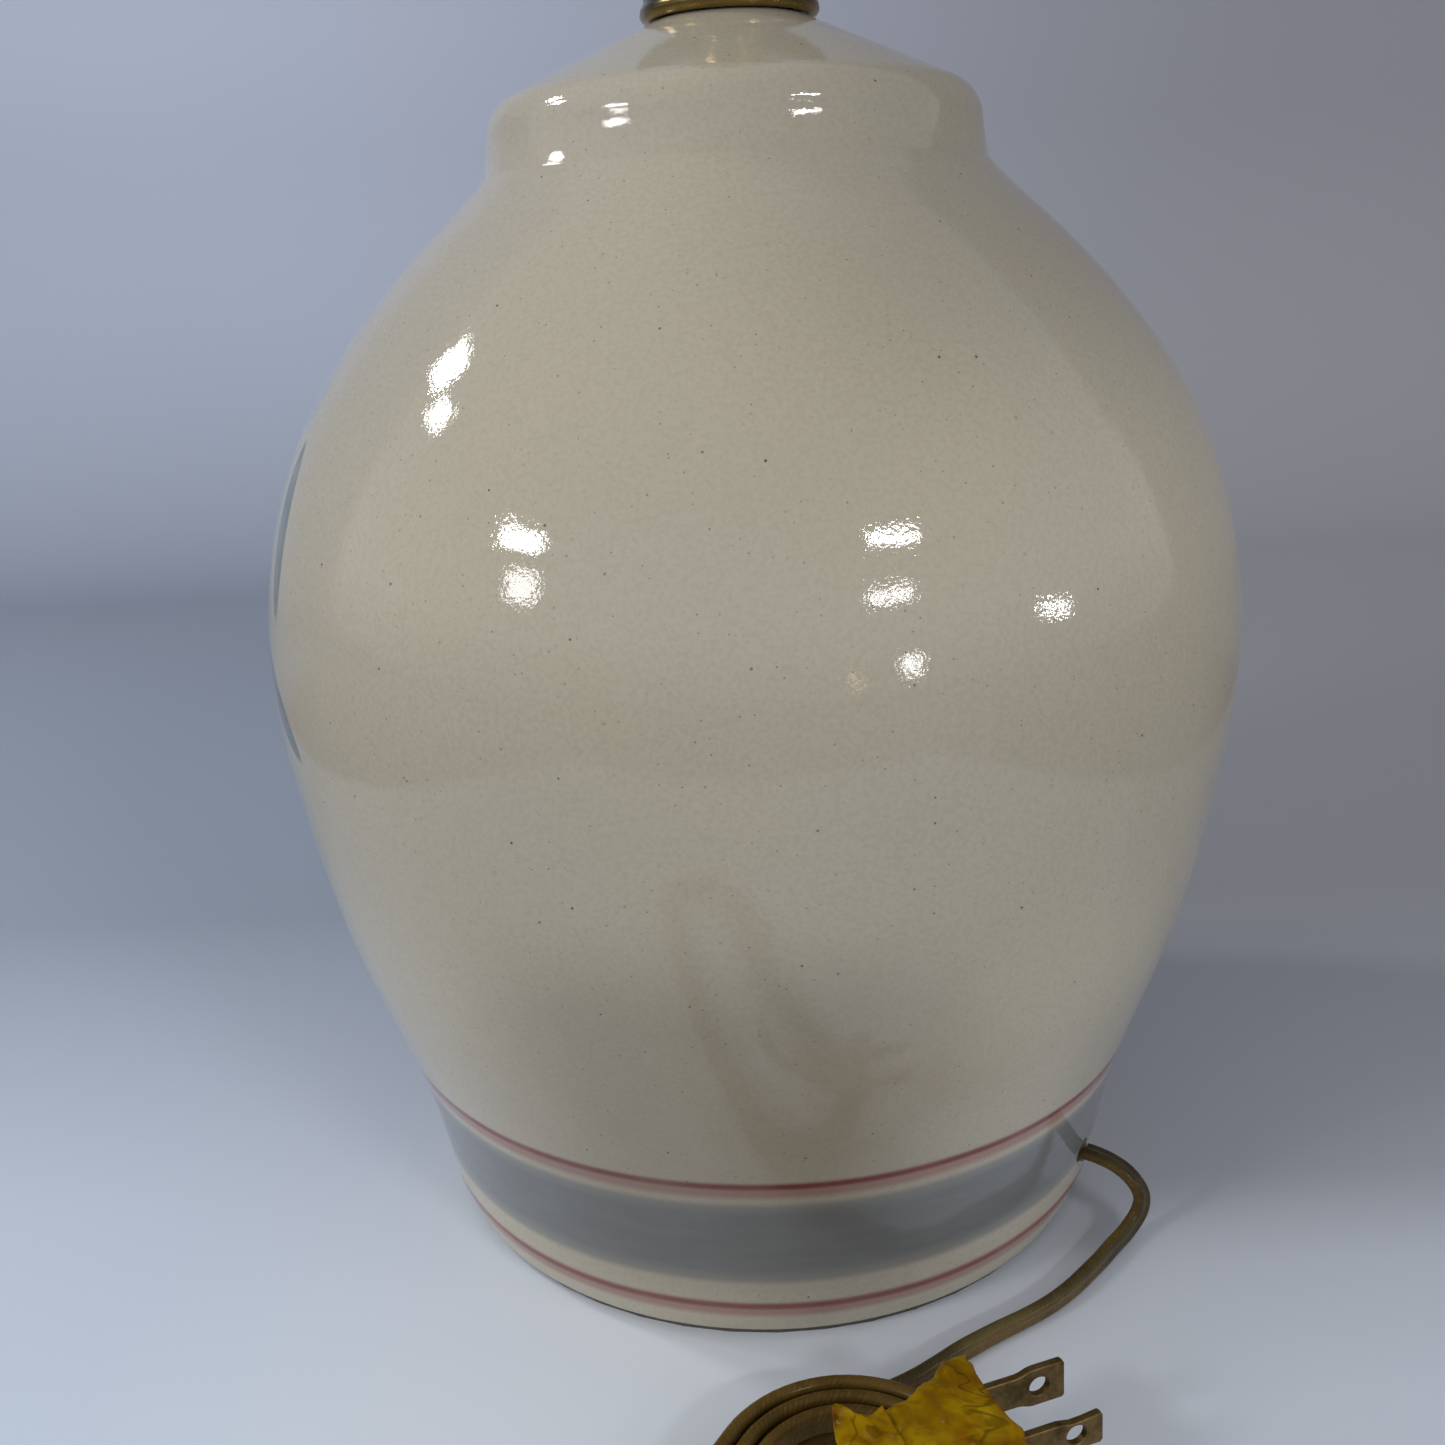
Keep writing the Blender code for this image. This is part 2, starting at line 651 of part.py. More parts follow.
def make_shell(low, switch_height):
    outer = SOCKET_CAP_RADIUS - SOCKET_SHEET - GAP
    top = low + SHELL_HEIGHT
    outline = [
        (outer - SOCKET_SHEET, low),
        (outer, low),
        (outer, top - 2 * SHELL_BEAD),
        (outer + SHELL_BEAD, top - SHELL_BEAD),
        (outer + SHELL_BEAD / 2, top),
        (outer - SOCKET_SHEET, top),
    ]
    shell = place("socket_shell", lathe_shape(outline, FITTING_SIDES), BRASS)
    add_spindle_hole(shell, outer, switch_height, "shell_spindle_hole")
    return outer - SOCKET_SHEET


def add_spindle_hole(item, radius, height, name):
    start = (0, -radius / 2, height)
    end = (0, -radius - OVERRUN, height)
    cut(item, bar_shape(SPINDLE_HOLE_RADIUS, start, end), name)


def make_sleeve(shell_bore, low, top, switch_height):
    outer = shell_bore - GAP
    inner = outer - SLEEVE_WALL
    outline = ring_outline(outer, inner, low, top)
    sleeve = place("insulating_sleeve", lathe_shape(outline, FITTING_SIDES), FIBRE)
    add_spindle_hole(sleeve, outer, switch_height, "sleeve_spindle_hole")
    return inner


def make_insulator(radius, low, switch_height):
    """The moulded block that carries the contacts and the switch."""
    top = low + INSULATOR_HEIGHT
    outline = [(0, low), (radius, low), (radius, top), (0, top)]
    block = place("socket_insulator", lathe_shape(outline, FITTING_SIDES), PHENOLIC)
    screw_height = low + TERMINAL_SCREW_RISE
    for sign, side in ((-1, "hot"), (1, "neutral")):
        face = sign * INSULATOR_FLAT_HALF
        far = sign * (radius + OVERRUN)
        flat = [(face, -radius), (far, -radius), (far, radius), (face, radius)]
        cut(block, prism_shape(flat, low - OVERRUN, top + OVERRUN), side + "_flat")
        deep = sign * (INSULATOR_FLAT_HALF - SCREW_SHANK_LENGTH - GAP)
        start = (deep, 0, screw_height)
        end = (far, 0, screw_height)
        cut(block, bar_shape(SCREW_SHANK_RADIUS + SLOT_CLEARANCE, start, end), side + "_screw_hole")
        make_terminal(side, sign, low, top, screw_height)
    back = -INSULATOR_FLAT_HALF + ROTOR_LENGTH + ROTOR_CLEARANCE
    start = (0, back, switch_height)
    end = (0, -radius - OVERRUN, switch_height)
    cut(block, bar_shape(ROTOR_RADIUS + ROTOR_CLEARANCE, start, end), "rotor_pocket")
    return top


def make_terminal(side, sign, low, top, screw_height):
    """A terminal plate on the block's flat, with its screw through it."""
    inner = INSULATOR_FLAT_HALF + GAP
    outer = inner + TERMINAL_THICKNESS
    half = TERMINAL_WIDTH / 2
    outline = [(sign * inner, -half), (sign * outer, -half), (sign * outer, half), (sign * inner, half)]
    plate = place("terminal_plate_" + side, prism_shape(outline, low, top), DULL_BRASS)
    start = (sign * (inner - OVERRUN), 0, screw_height)
    end = (sign * (outer + OVERRUN), 0, screw_height)
    cut(plate, bar_shape(SCREW_SHANK_RADIUS + SLOT_CLEARANCE, start, end), side + "_plate_hole")
    seat = outer + GAP
    tip = inner - GAP - SCREW_SHANK_LENGTH
    outline = [
        (0, tip),
        (SCREW_SHANK_RADIUS, tip),
        (SCREW_SHANK_RADIUS, seat),
        (SCREW_HEAD_RADIUS, seat),
        (SCREW_HEAD_RADIUS, seat + SCREW_HEAD_HEIGHT),
        (0, seat + SCREW_HEAD_HEIGHT),
    ]
    shape = lathe_shape(outline, SMALL_SIDES)
    shape.transform(Matrix.Translation((0, 0, screw_height)) @ Matrix.Rotation(sign * math.pi / 2, 4, "Y"))
    screw = place("terminal_screw_" + side, shape, BRASS if side == "hot" else ZINC)
    head = seat + SCREW_HEAD_HEIGHT
    half = SCREW_SLOT_WIDTH / 2
    shallow = sign * (head - SCREW_SLOT_DEPTH)
    deep = sign * (head + OVERRUN)
    slot = [(shallow, -half), (deep, -half), (deep, half), (shallow, half)]
    reach = SCREW_HEAD_RADIUS + OVERRUN
    cut(screw, prism_shape(slot, screw_height - reach, screw_height + reach), side + "_screw_slot")


def make_screw_shell(crest, low):
    """The threaded sleeve that takes the bulb, with one ridge for each turn."""
    root = crest - THREAD_DEPTH
    outline = []
    for turn in range(THREAD_TURNS):
        base = low + turn * THREAD_PITCH
        outline += [(root, base), (crest, base + THREAD_PITCH / 2)]
    top = low + THREAD_TURNS * THREAD_PITCH
    outline.append((root, top))
    inside = [(radius - SCREW_SHELL_WALL, height) for radius, height in reversed(outline)]
    place("screw_shell", lathe_shape(outline + inside, FITTING_SIDES), DULL_BRASS)


def make_centre_contact(low):
    """The spring strip under the bulb's tip."""
    line = [
        (-CONTACT_HALF_LENGTH, 0),
        (CONTACT_HALF_LENGTH / 2, 0),
        (CONTACT_HALF_LENGTH, CONTACT_RISE / 2),
        (CONTACT_HALF_LENGTH / 2, CONTACT_RISE),
        (-CONTACT_HALF_LENGTH / 2, CONTACT_RISE),
    ]
    shape = bent_strip(thicken(line, CONTACT_THICKNESS), CONTACT_WIDTH)
    shape.transform(Matrix.Translation((0, 0, low + CONTACT_THICKNESS / 2)))
    place("centre_contact", shape, DULL_BRASS)


def make_switch(shell_radius, height):
    """Rotor, spindle and knob, which turn together about a horizontal axis."""
    axis = bpy.data.objects.new("switch_axis", None)
    axis.location = (0, 0, height)
    axis.rotation_euler = Euler((math.pi / 2, 0, 0))
    bpy.context.scene.collection.objects.link(axis)
    front = INSULATOR_FLAT_HALF
    back = front - ROTOR_LENGTH
    hub = SPINDLE_RADIUS + SLOT_CLEARANCE
    grip = front - ROTOR_LENGTH / 2
    rotor = [
        (0, back),
        (ROTOR_RADIUS, back),
        (ROTOR_RADIUS, front),
        (hub, front),
        (hub, grip),
        (0, grip),
    ]
    place("switch_rotor", lathe_shape(rotor, SMALL_SIDES), FIBRE, axis)
    knob_back = shell_radius + KNOB_STAND_OFF
    knob_front = knob_back + KNOB_LENGTH
    spindle_end = knob_back + KNOB_SOCKET_DEPTH
    spindle = [
        (0, grip + GAP),
        (SPINDLE_RADIUS, grip + GAP),
        (SPINDLE_RADIUS, spindle_end),
        (0, spindle_end),
    ]
    place("switch_spindle", lathe_shape(spindle, SMALL_SIDES), BRASS, axis)
    knob = [
        (hub, knob_back),
        (KNOB_WAIST_RADIUS, knob_back),
        (KNOB_WAIST_RADIUS, knob_back + KNOB_WAIST_LENGTH),
        (KNOB_RADIUS, knob_back + KNOB_WAIST_LENGTH + KNOB_FLARE_LENGTH),
        (KNOB_RADIUS, knob_front - KNOB_NOSE_LENGTH),
        (KNOB_RADIUS - KNOB_NOSE_CHAMFER, knob_front),
        (0, knob_front),
        (0, spindle_end + GAP),
        (hub, spindle_end + GAP),
    ]
    turned = place("turn_knob", lathe_shape(knob, SMALL_SIDES), PHENOLIC, axis)
    far = KNOB_RADIUS + OVERRUN
    grip_start = knob_back + KNOB_GRIP_START
    for sign, side in ((-1, "left"), (1, "right")):
        face = sign * KNOB_HALF_THICKNESS
        edge = sign * far
        flat = [(face, -far), (edge, -far), (edge, far), (face, far)]
        cut(turned, prism_shape(flat, grip_start, knob_front + OVERRUN), "knob_flat_" + side)


def flat_cord(name, points, finish):
    """A flat cord on edge along its centre line."""
    curve = bpy.data.curves.new(name, "CURVE")
    curve.dimensions = "3D"
    curve.twist_mode = "Z_UP"
    curve.bevel_depth = CORD_THICKNESS / 2
    curve.extrude = (CORD_WIDTH - CORD_THICKNESS) / 2
    curve.bevel_resolution = 1
    return place_curve(name, curve, points, finish)


def place_curve(name, curve, points, finish):
    curve.use_fill_caps = True
    spline = curve.splines.new("POLY")
    spline.points.add(len(points) - 1)
    for knot, point in zip(spline.points, points):
        knot.co = (*point, 1)
    curve.materials.append(material(name, *finish))
    item = bpy.data.objects.new(name, curve)
    bpy.context.scene.collection.objects.link(item)
    return item


def round_wire(name, points, radius, finish):
    curve = bpy.data.curves.new(name, "CURVE")
    curve.dimensions = "3D"
    curve.bevel_depth = radius
    curve.bevel_resolution = 2
    return place_curve(name, curve, points, finish)


def hank_layer_height(layer):
    return FLOOR_CLEARANCE + CORD_WIDTH / 2 + layer * (CORD_WIDTH + WIRE_GAP)


def hank_point(step):
    """Centre of the hank's cord at a step, counted from the right end of the far fold."""
    loop_steps = 2 * (FOLD_STEPS + RUN_STEPS)
    turns = (step - HANK_START_STEP) / loop_steps
    radius = HANK_FOLD_RADIUS + HANK_PITCH * abs(turns - HANK_TURN_BACK)
    climb = (turns - HANK_TURN_BACK) / (2 * HANK_CLIMB_HALF) + 0.5
    climb = min(max(climb, 0), 1)
    layer = climb * climb * (3 - 2 * climb)
    along = Vector((math.cos(HANK_DIRECTION), math.sin(HANK_DIRECTION), 0))
    place_in_loop = step % loop_steps
    half_turn = HANK_DIRECTION + math.pi / 2
    if place_in_loop <= FOLD_STEPS:
        angle = half_turn + math.pi * place_in_loop / FOLD_STEPS
        run = 0
    elif place_in_loop < FOLD_STEPS + RUN_STEPS:
        angle = half_turn + math.pi
        run = (place_in_loop - FOLD_STEPS) / RUN_STEPS
    elif place_in_loop <= 2 * FOLD_STEPS + RUN_STEPS:
        angle = half_turn + math.pi + math.pi * (place_in_loop - FOLD_STEPS - RUN_STEPS) / FOLD_STEPS
        run = 1
    else:
        angle = half_turn
        run = 1 - (place_in_loop - 2 * FOLD_STEPS - RUN_STEPS) / RUN_STEPS
    outward = Vector((math.cos(angle), math.sin(angle), 0))
    height = Vector((0, 0, hank_layer_height(layer)))
    return HANK_CENTRE + along * HANK_RUN * run + outward * radius + height


def hank_points():
    """All the hank's points, with a straight end of one cord width at each end."""
    loop_steps = 2 * (FOLD_STEPS + RUN_STEPS)
    last = HANK_START_STEP + round(HANK_LOOPS * loop_steps)
    points = [hank_point(step) for step in range(HANK_START_STEP, last + 1)]
    start = (points[0] - points[1]).normalized()
    end = (hank_point(last + 1) - points[-1]).normalized()
    return [points[0] + start * CORD_WIDTH, *points, points[-1] + end * CORD_WIDTH]


def least_gap(points):
    """Smallest clear distance between stretches of the hank that aren't neighbours along it."""
    fine = smooth_points(points, CURVE_STEPS)
    skip = 2 * CURVE_STEPS * FOLD_STEPS
    least = math.inf
    for first in range(len(fine)):
        for second in range(first + skip, len(fine)):
            apart = fine[second] - fine[first]
            beside = math.hypot(apart.x, apart.y) - CORD_THICKNESS
            above = abs(apart.z) - CORD_WIDTH
            least = min(least, max(beside, above))
    return least


def run_in(before, end):
    """Points straight on from an end of the hank, so that the next cord meets it square."""
    onward = (end - before).normalized()
    return [end + onward * (GAP + CORD_WIDTH * step) for step in range(3)]


def make_cord():
    hank = hank_points()
    print(f"hank: least gap to itself {least_gap(hank):.5f} m")
    flat_cord("cord_hank", hank, CORD)
    free = smooth_points([*FREE_ROUTE, *run_in(hank[1], hank[0])[::-1]], CURVE_STEPS)
    flat_cord("cord_free_run", free, CORD)
    lead = smooth_points([*run_in(hank[-2], hank[-1]), *PLUG_ROUTE, *plug_run_in()], CURVE_STEPS)
    flat_cord("cord_plug_run", lead, CORD)
    length = sum((b - a).length for run in (free, hank, lead) for a, b in zip(run, run[1:]))
    print(f"cord: {length:.4f} m long outside the body")


def make_inner_cord(nipple_low, cord_end):
    """From the cord hole up to the nipple, and straight through it."""
    hole = Vector(FREE_ROUTE[0])
    reach = math.hypot(hole.x, hole.y) - GAP
    points = [radial(reach * out, hole.z + (nipple_low - hole.z) * up) for out, up in INNER_CORD_SHARES]
    curve = flat_cord("inner_cord", [*smooth_points(points, CURVE_STEPS), (0, 0, cord_end)], CORD)
    curve.data.twist_mode = "MINIMUM"


def plug_frame():
    turn = Euler((PLUG_ROLL, PLUG_PITCH, PLUG_YAW)).to_matrix().to_4x4()
    return Matrix.Translation(PLUG_FACE) @ turn


def plug_run_in():
    """Points along the plug's own axis, up to its tail."""
    return [plug_frame() @ Vector((-PLUG_LENGTH - GAP - CORD_WIDTH * step, 0, 0)) for step in (1, 0)]


def make_plug():
    frame = plug_frame()
    axis = bpy.data.objects.new("plug_frame", None)
    axis.matrix_world = frame
    bpy.context.scene.collection.objects.link(axis)
    shape = bmesh.new()
    stations = (
        (0, PLUG_WIDTH, PLUG_THICKNESS),
        (-PLUG_SHOULDER, PLUG_WIDTH, PLUG_THICKNESS),
        (-PLUG_LENGTH, PLUG_TAIL_WIDTH, PLUG_TAIL_THICKNESS),
    )
    sections = []
    for x, width, thickness in stations:
        corners = ((-1, -1), (1, -1), (1, 1), (-1, 1))
        sections.append([shape.verts.new((x, y * width / 2, z * thickness / 2)) for y, z in corners])
    shape.faces.new(sections[0])
    shape.faces.new(sections[-1])
    for first, second in zip(sections, sections[1:]):
        for step in range(4):
            after = (step + 1) % 4
            shape.faces.new((first[step], first[after], second[after], second[step]))
    body = place("plug_body", shape, PLUG, axis)
    rounding = body.modifiers.new("edges", "BEVEL")
    rounding.width = PLUG_EDGE
    rounding.segments = 3
    for sign, side, tip in ((1, "wide", BLADE_WIDE_TIP), (-1, "narrow", BLADE_NARROW_TIP)):
        middle = sign * BLADE_SPACING / 2
        half = BLADE_THICKNESS / 2 + SLOT_CLEARANCE
        slot = [
            (-BLADE_ROOT - GAP, middle - half),
            (OVERRUN, middle - half),
            (OVERRUN, middle + half),
            (-BLADE_ROOT - GAP, middle + half),
        ]
        tall = BLADE_WIDTH / 2 + SLOT_CLEARANCE
        cut(body, prism_shape(slot, -tall, tall), "plug_slot_" + side)
        make_blade(side, middle, tip, axis)


def make_blade(side, middle, tip, axis):
    """One contact blade: a flat strip with a shaped tip and a hole."""
    shank = BLADE_WIDTH / 2
    shoulder = BLADE_LENGTH - BLADE_TIP_LENGTH
    flare = shoulder - BLADE_FLARE_LENGTH
    upper = tip - shank if tip < BLADE_WIDTH else tip / 2
    lower = shank if tip < BLADE_WIDTH else tip / 2
    outline = [
        (-BLADE_ROOT, -shank),
        (flare, -shank),
        (shoulder, -lower),
        (BLADE_LENGTH - BLADE_CORNER, -lower),
        (BLADE_LENGTH, BLADE_CORNER - lower),
        (BLADE_LENGTH, upper - BLADE_CORNER),
        (BLADE_LENGTH - BLADE_CORNER, upper),
        (shoulder, upper),
        (flare, shank),
        (-BLADE_ROOT, shank),
    ]
    shape = prism_shape(outline, -BLADE_THICKNESS / 2, BLADE_THICKNESS / 2)
    shape.transform(Matrix.Translation((0, middle, 0)) @ Matrix.Rotation(math.pi / 2, 4, "X"))
    blade = place("plug_blade_" + side, shape, DULL_BRASS, axis)
    hole = BLADE_LENGTH - BLADE_HOLE_FROM_TIP
    reach = BLADE_THICKNESS / 2 + OVERRUN
    drill = bar_shape(BLADE_HOLE_RADIUS, (hole, middle - reach, 0), (hole, middle + reach, 0))
    cut(blade, drill, side + "_blade_hole")


def tape_outline(front, back, clearance):
    """The plug's wedge seen from above, from front to back, with a clearance all round."""
    lean = (PLUG_WIDTH - PLUG_TAIL_WIDTH) / 2 / (PLUG_LENGTH - PLUG_SHOULDER)
    wide = PLUG_WIDTH / 2 + clearance
    narrow = wide - lean * (-PLUG_SHOULDER - back)
    half = [(back, narrow), (-PLUG_SHOULDER, wide), (front, wide)]
    return half + [(x, -y) for x, y in reversed(half)]


def make_tape():
    """The wrap of tape: a sleeve round the plug, with a flap at its back."""
    axis = bpy.data.objects["plug_frame"]
    inner = PLUG_THICKNESS / 2 + GAP
    outer = inner + TAPE_THICKNESS
    front = -TAPE_SET_BACK
    back = front - TAPE_LENGTH
    sleeve = prism_shape(tape_outline(front, back, 2 * GAP + TAPE_THICKNESS), -outer, outer)
    tape = place("plug_tape", sleeve, TAPE, axis)
    flap_front = back + TAPE_FLAP_WIDTH
    flap = [(back, 0), (flap_front, 0), (flap_front, TAPE_FLAP_REACH), (back, TAPE_FLAP_REACH)]
    cut(tape, prism_shape(flap, -outer, -inner), "tape_flap", "UNION")
    tunnel = tape_outline(front + OVERRUN, back - OVERRUN, 2 * GAP)
    cut(tape, prism_shape(tunnel, -inner, inner), "tape_tunnel")


def make_wires(insulator_low, cord_end):
    """The two conductors, from the end of the flat cord to the undersides of the terminal screws."""
    start = CONDUCTOR_SPACING / 2
    reach = INSULATOR_FLAT_HALF + TERMINAL_THICKNESS + 2 * GAP + CONDUCTOR_RADIUS
    low = cord_end + GAP
    high = insulator_low + TERMINAL_SCREW_RISE - SCREW_HEAD_RADIUS - GAP
    for sign, side in ((-1, "hot"), (1, "neutral")):
        points = [
            (sign * (start + (reach - start) * across), 0, low + (high - low) * up)
            for across, up in CONDUCTOR_SHARES
        ]
        round_wire("lead_" + side, smooth_points(points, CURVE_STEPS), CONDUCTOR_RADIUS, WIRE)


def make_fittings():
    """Everything clamped on the nipple, from the nut under the top to the socket."""
    nut_low = make_inner_clamp()
    cap_top = make_brass_cap()
    ring_top = make_neck_ring(cap_top + GAP)
    saddle_top = make_saddle(ring_top + GAP)
    lock_low = saddle_top + GAP
    make_nut("lock_nut", LOCK_NUT_ACROSS_FLATS, lock_low, LOCK_NUT_HEIGHT, BRASS)
    socket_low = lock_low + LOCK_NUT_HEIGHT + GAP
    cap_rim = make_socket_cap(socket_low)
    nipple_low = nut_low - NIPPLE_BELOW_NUT
    nipple_top = socket_low + NIPPLE_IN_CAP
    outline = ring_outline(NIPPLE_RADIUS, NIPPLE_BORE_RADIUS, nipple_low, nipple_top)
    place("threaded_nipple", lathe_shape(outline, FITTING_SIDES), DULL_BRASS)
    shell_low = cap_rim - SHELL_OVERLAP
    switch_height = cap_rim + SPINDLE_HOLE_RADIUS + GAP
    shell_bore = make_shell(shell_low, switch_height)
    shell_top = shell_low + SHELL_HEIGHT
    sleeve_bore = make_sleeve(shell_bore, shell_low, shell_top - SLEEVE_INSET, switch_height)
    insulator_top = make_insulator(sleeve_bore - GAP, shell_low, switch_height)
    make_screw_shell(sleeve_bore - GAP, insulator_top + GAP)
    make_centre_contact(insulator_top + GAP)
    make_switch(shell_bore + SOCKET_SHEET, switch_height)
    cord_end = nipple_top + CORD_ABOVE_NIPPLE
    make_inner_cord(nipple_low, cord_end)
    make_wires(shell_low, cord_end)


clear_scene()
make_body()
make_felt()
make_fittings()
make_cord()
make_plug()
make_tape()
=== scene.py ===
"""How the table lamp base looks: its glazed body, brass fittings, gold flat cord, plug and tape."""

import json
import math

import bmesh
import bpy
import numpy as np
from mathutils import Matrix, Quaternion, Vector, noise


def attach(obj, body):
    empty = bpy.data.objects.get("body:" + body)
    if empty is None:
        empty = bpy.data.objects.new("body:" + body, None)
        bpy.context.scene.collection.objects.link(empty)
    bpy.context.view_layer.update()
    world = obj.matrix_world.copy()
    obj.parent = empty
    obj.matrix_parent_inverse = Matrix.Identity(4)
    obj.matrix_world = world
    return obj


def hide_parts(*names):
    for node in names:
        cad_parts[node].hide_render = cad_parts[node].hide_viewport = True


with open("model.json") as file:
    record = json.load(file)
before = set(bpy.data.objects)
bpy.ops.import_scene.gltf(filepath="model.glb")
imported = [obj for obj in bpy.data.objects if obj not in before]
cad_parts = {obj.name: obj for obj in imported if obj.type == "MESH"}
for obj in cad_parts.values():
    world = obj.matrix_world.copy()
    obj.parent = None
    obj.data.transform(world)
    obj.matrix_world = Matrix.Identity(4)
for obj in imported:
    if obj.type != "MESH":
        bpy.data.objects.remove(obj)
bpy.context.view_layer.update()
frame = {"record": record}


# Camera, at the photograph's place

CAMERA_PLACE = Vector((0.0, -0.327, 0.2176))
CAMERA_RIGHT = Vector((0.99903, 0.01128, -0.04249))
CAMERA_DOWN = Vector((-0.03705, -0.30431, -0.95185))
CAMERA_AHEAD = Vector((-0.02367, 0.95251, -0.30360))

camera = bpy.data.objects.new("camera", bpy.data.cameras.new("camera"))
camera.data.lens = 34.88
camera.data.sensor_width = 36
camera.data.clip_start = 0.01
camera.matrix_world = Matrix.Translation(CAMERA_PLACE) @ Matrix(
    (
        (CAMERA_RIGHT.x, -CAMERA_DOWN.x, -CAMERA_AHEAD.x),
        (CAMERA_RIGHT.y, -CAMERA_DOWN.y, -CAMERA_AHEAD.y),
        (CAMERA_RIGHT.z, -CAMERA_DOWN.z, -CAMERA_AHEAD.z),
    )
).to_4x4()
bpy.context.scene.collection.objects.link(camera)
bpy.context.scene.camera = camera


# Node materials


class Nodes:
    """A material's node tree, with short ways to add and join nodes."""

    def __init__(self, name):
        self.material = bpy.data.materials.new(name)
        self.material.use_nodes = True
        self.tree = self.material.node_tree
        self.shader = self.tree.nodes["Principled BSDF"]
        self.output = self.tree.nodes["Material Output"]

    def add(self, kind, inputs=(), **settings):
        node = self.tree.nodes.new("ShaderNode" + kind)
        for key, value in settings.items():
            setattr(node, key, value)
        for key, value in dict(inputs).items():
            self.feed(node.inputs[key], value)
        return node

    def feed(self, socket, value):
        if isinstance(value, bpy.types.NodeSocket):
            self.tree.links.new(value, socket)
        else:
            socket.default_value = value

    def math(self, operation, *values, clamp=False):
        node = self.add("Math", operation=operation, use_clamp=clamp)
        for socket, value in zip(node.inputs, values):
            self.feed(socket, value)
        return node.outputs[0]

    def mix(self, factor, first, second, blend="MIX"):
        node = self.add("Mix", data_type="RGBA", blend_type=blend)
        self.feed(node.inputs["Factor"], factor)
        for key, value in (("A", first), ("B", second)):
            socket = [item for item in node.inputs if item.name == key and item.type == "RGBA"][0]
            self.feed(socket, (*value, 1) if isinstance(value, tuple) and len(value) == 3 else value)
        return [item for item in node.outputs if item.type == "RGBA"][0]

    def ramp(self, value, *stops):
        node = self.add("ValToRGB", {"Fac": value})
        while len(node.color_ramp.elements) < len(stops):
            node.color_ramp.elements.new(0.5)
        for element, (place, colour) in zip(node.color_ramp.elements, stops):
            element.position = place
            element.color = (*colour, 1) if len(colour) == 3 else (colour[0],) * 3 + (1,)
        return node.outputs["Color"]

    def noise(self, scale, detail=3.0, roughness=0.5, vector=None, distortion=0.0):
        vector = self.place() if vector is None else vector
        inputs = {"Vector": vector, "Scale": scale, "Detail": detail}
        inputs.update({"Roughness": roughness, "Distortion": distortion})
        return self.add("TexNoise", inputs).outputs["Fac"]

    def place(self):
        return self.add("TexCoord").outputs["Object"]

    def stretched(self, scale):
        return self.add("Mapping", {"Vector": self.place(), "Scale": scale}).outputs["Vector"]

    def bump(self, height, strength, distance, below=None):
        inputs = {"Height": height, "Strength": strength, "Distance": distance}
        if below is not None:
            inputs["Normal"] = below
        return self.add("Bump", inputs).outputs["Normal"]

    def finish(self, **inputs):
        for key, value in inputs.items():
            key = key.replace("_", " ")
            if isinstance(value, tuple) and len(value) == 3:
                value = (*value, 1)
            self.feed(self.shader.inputs[key], value)
        return self.material


def smoothstep(nodes, value, low, high):
    """0 below low and 1 above high, with soft shoulders."""
    inputs = {"Value": value, "From Min": low, "From Max": high, "To Min": 0.0, "To Max": 1.0}
    return nodes.add("MapRange", inputs, interpolation_type="SMOOTHSTEP").outputs["Result"]


def band(nodes, value, low, high, soft):
    """1 between low and high, 0 outside."""
    return nodes.math(
        "MULTIPLY",
        smoothstep(nodes, value, low - soft, low + soft),
        nodes.math("SUBTRACT", 1.0, smoothstep(nodes, value, high - soft, high + soft)),
    )


# Colours of the glaze and its painting

GLAZE = (0.488, 0.433, 0.327)
GLAZE_COOL = (0.455, 0.415, 0.333)
GLAZE_WARM = (0.365, 0.300, 0.205)
SPECK = (0.050, 0.036, 0.028)
BLUE_BAND = (0.150, 0.160, 0.168)
RED_LINE = (0.170, 0.020, 0.024)
PINK_LINE = (0.330, 0.160, 0.132)
# Dark colour mixed into the glaze as painted shade
PAINTED_SHADE = (0.055, 0.042, 0.025)
PETAL = (0.300, 0.350, 0.420)
LEAF = (0.075, 0.115, 0.110)

# A painted spray on the left side: each stroke's place along Y and Z, turn, half length, half width
# and colour

PETAL_WIDTH = 0.008
LEAF_WIDTH = 0.0042
STROKES = (
    (-0.022, 0.200, 20, 0.017, PETAL_WIDTH, PETAL),
    (0.004, 0.206, 95, 0.017, PETAL_WIDTH, PETAL),
    (0.014, 0.182, 160, 0.017, PETAL_WIDTH, PETAL),
    (-0.002, 0.160, 235, 0.017, PETAL_WIDTH, PETAL),
    (-0.024, 0.166, 300, 0.017, PETAL_WIDTH, PETAL),
    (-0.045, 0.172, 76, 0.019, LEAF_WIDTH, LEAF),
    (-0.046, 0.138, 40, 0.018, LEAF_WIDTH, LEAF),
    (0.030, 0.148, 120, 0.019, LEAF_WIDTH, LEAF),
    (0.038, 0.186, 70, 0.017, LEAF_WIDTH, LEAF),
)


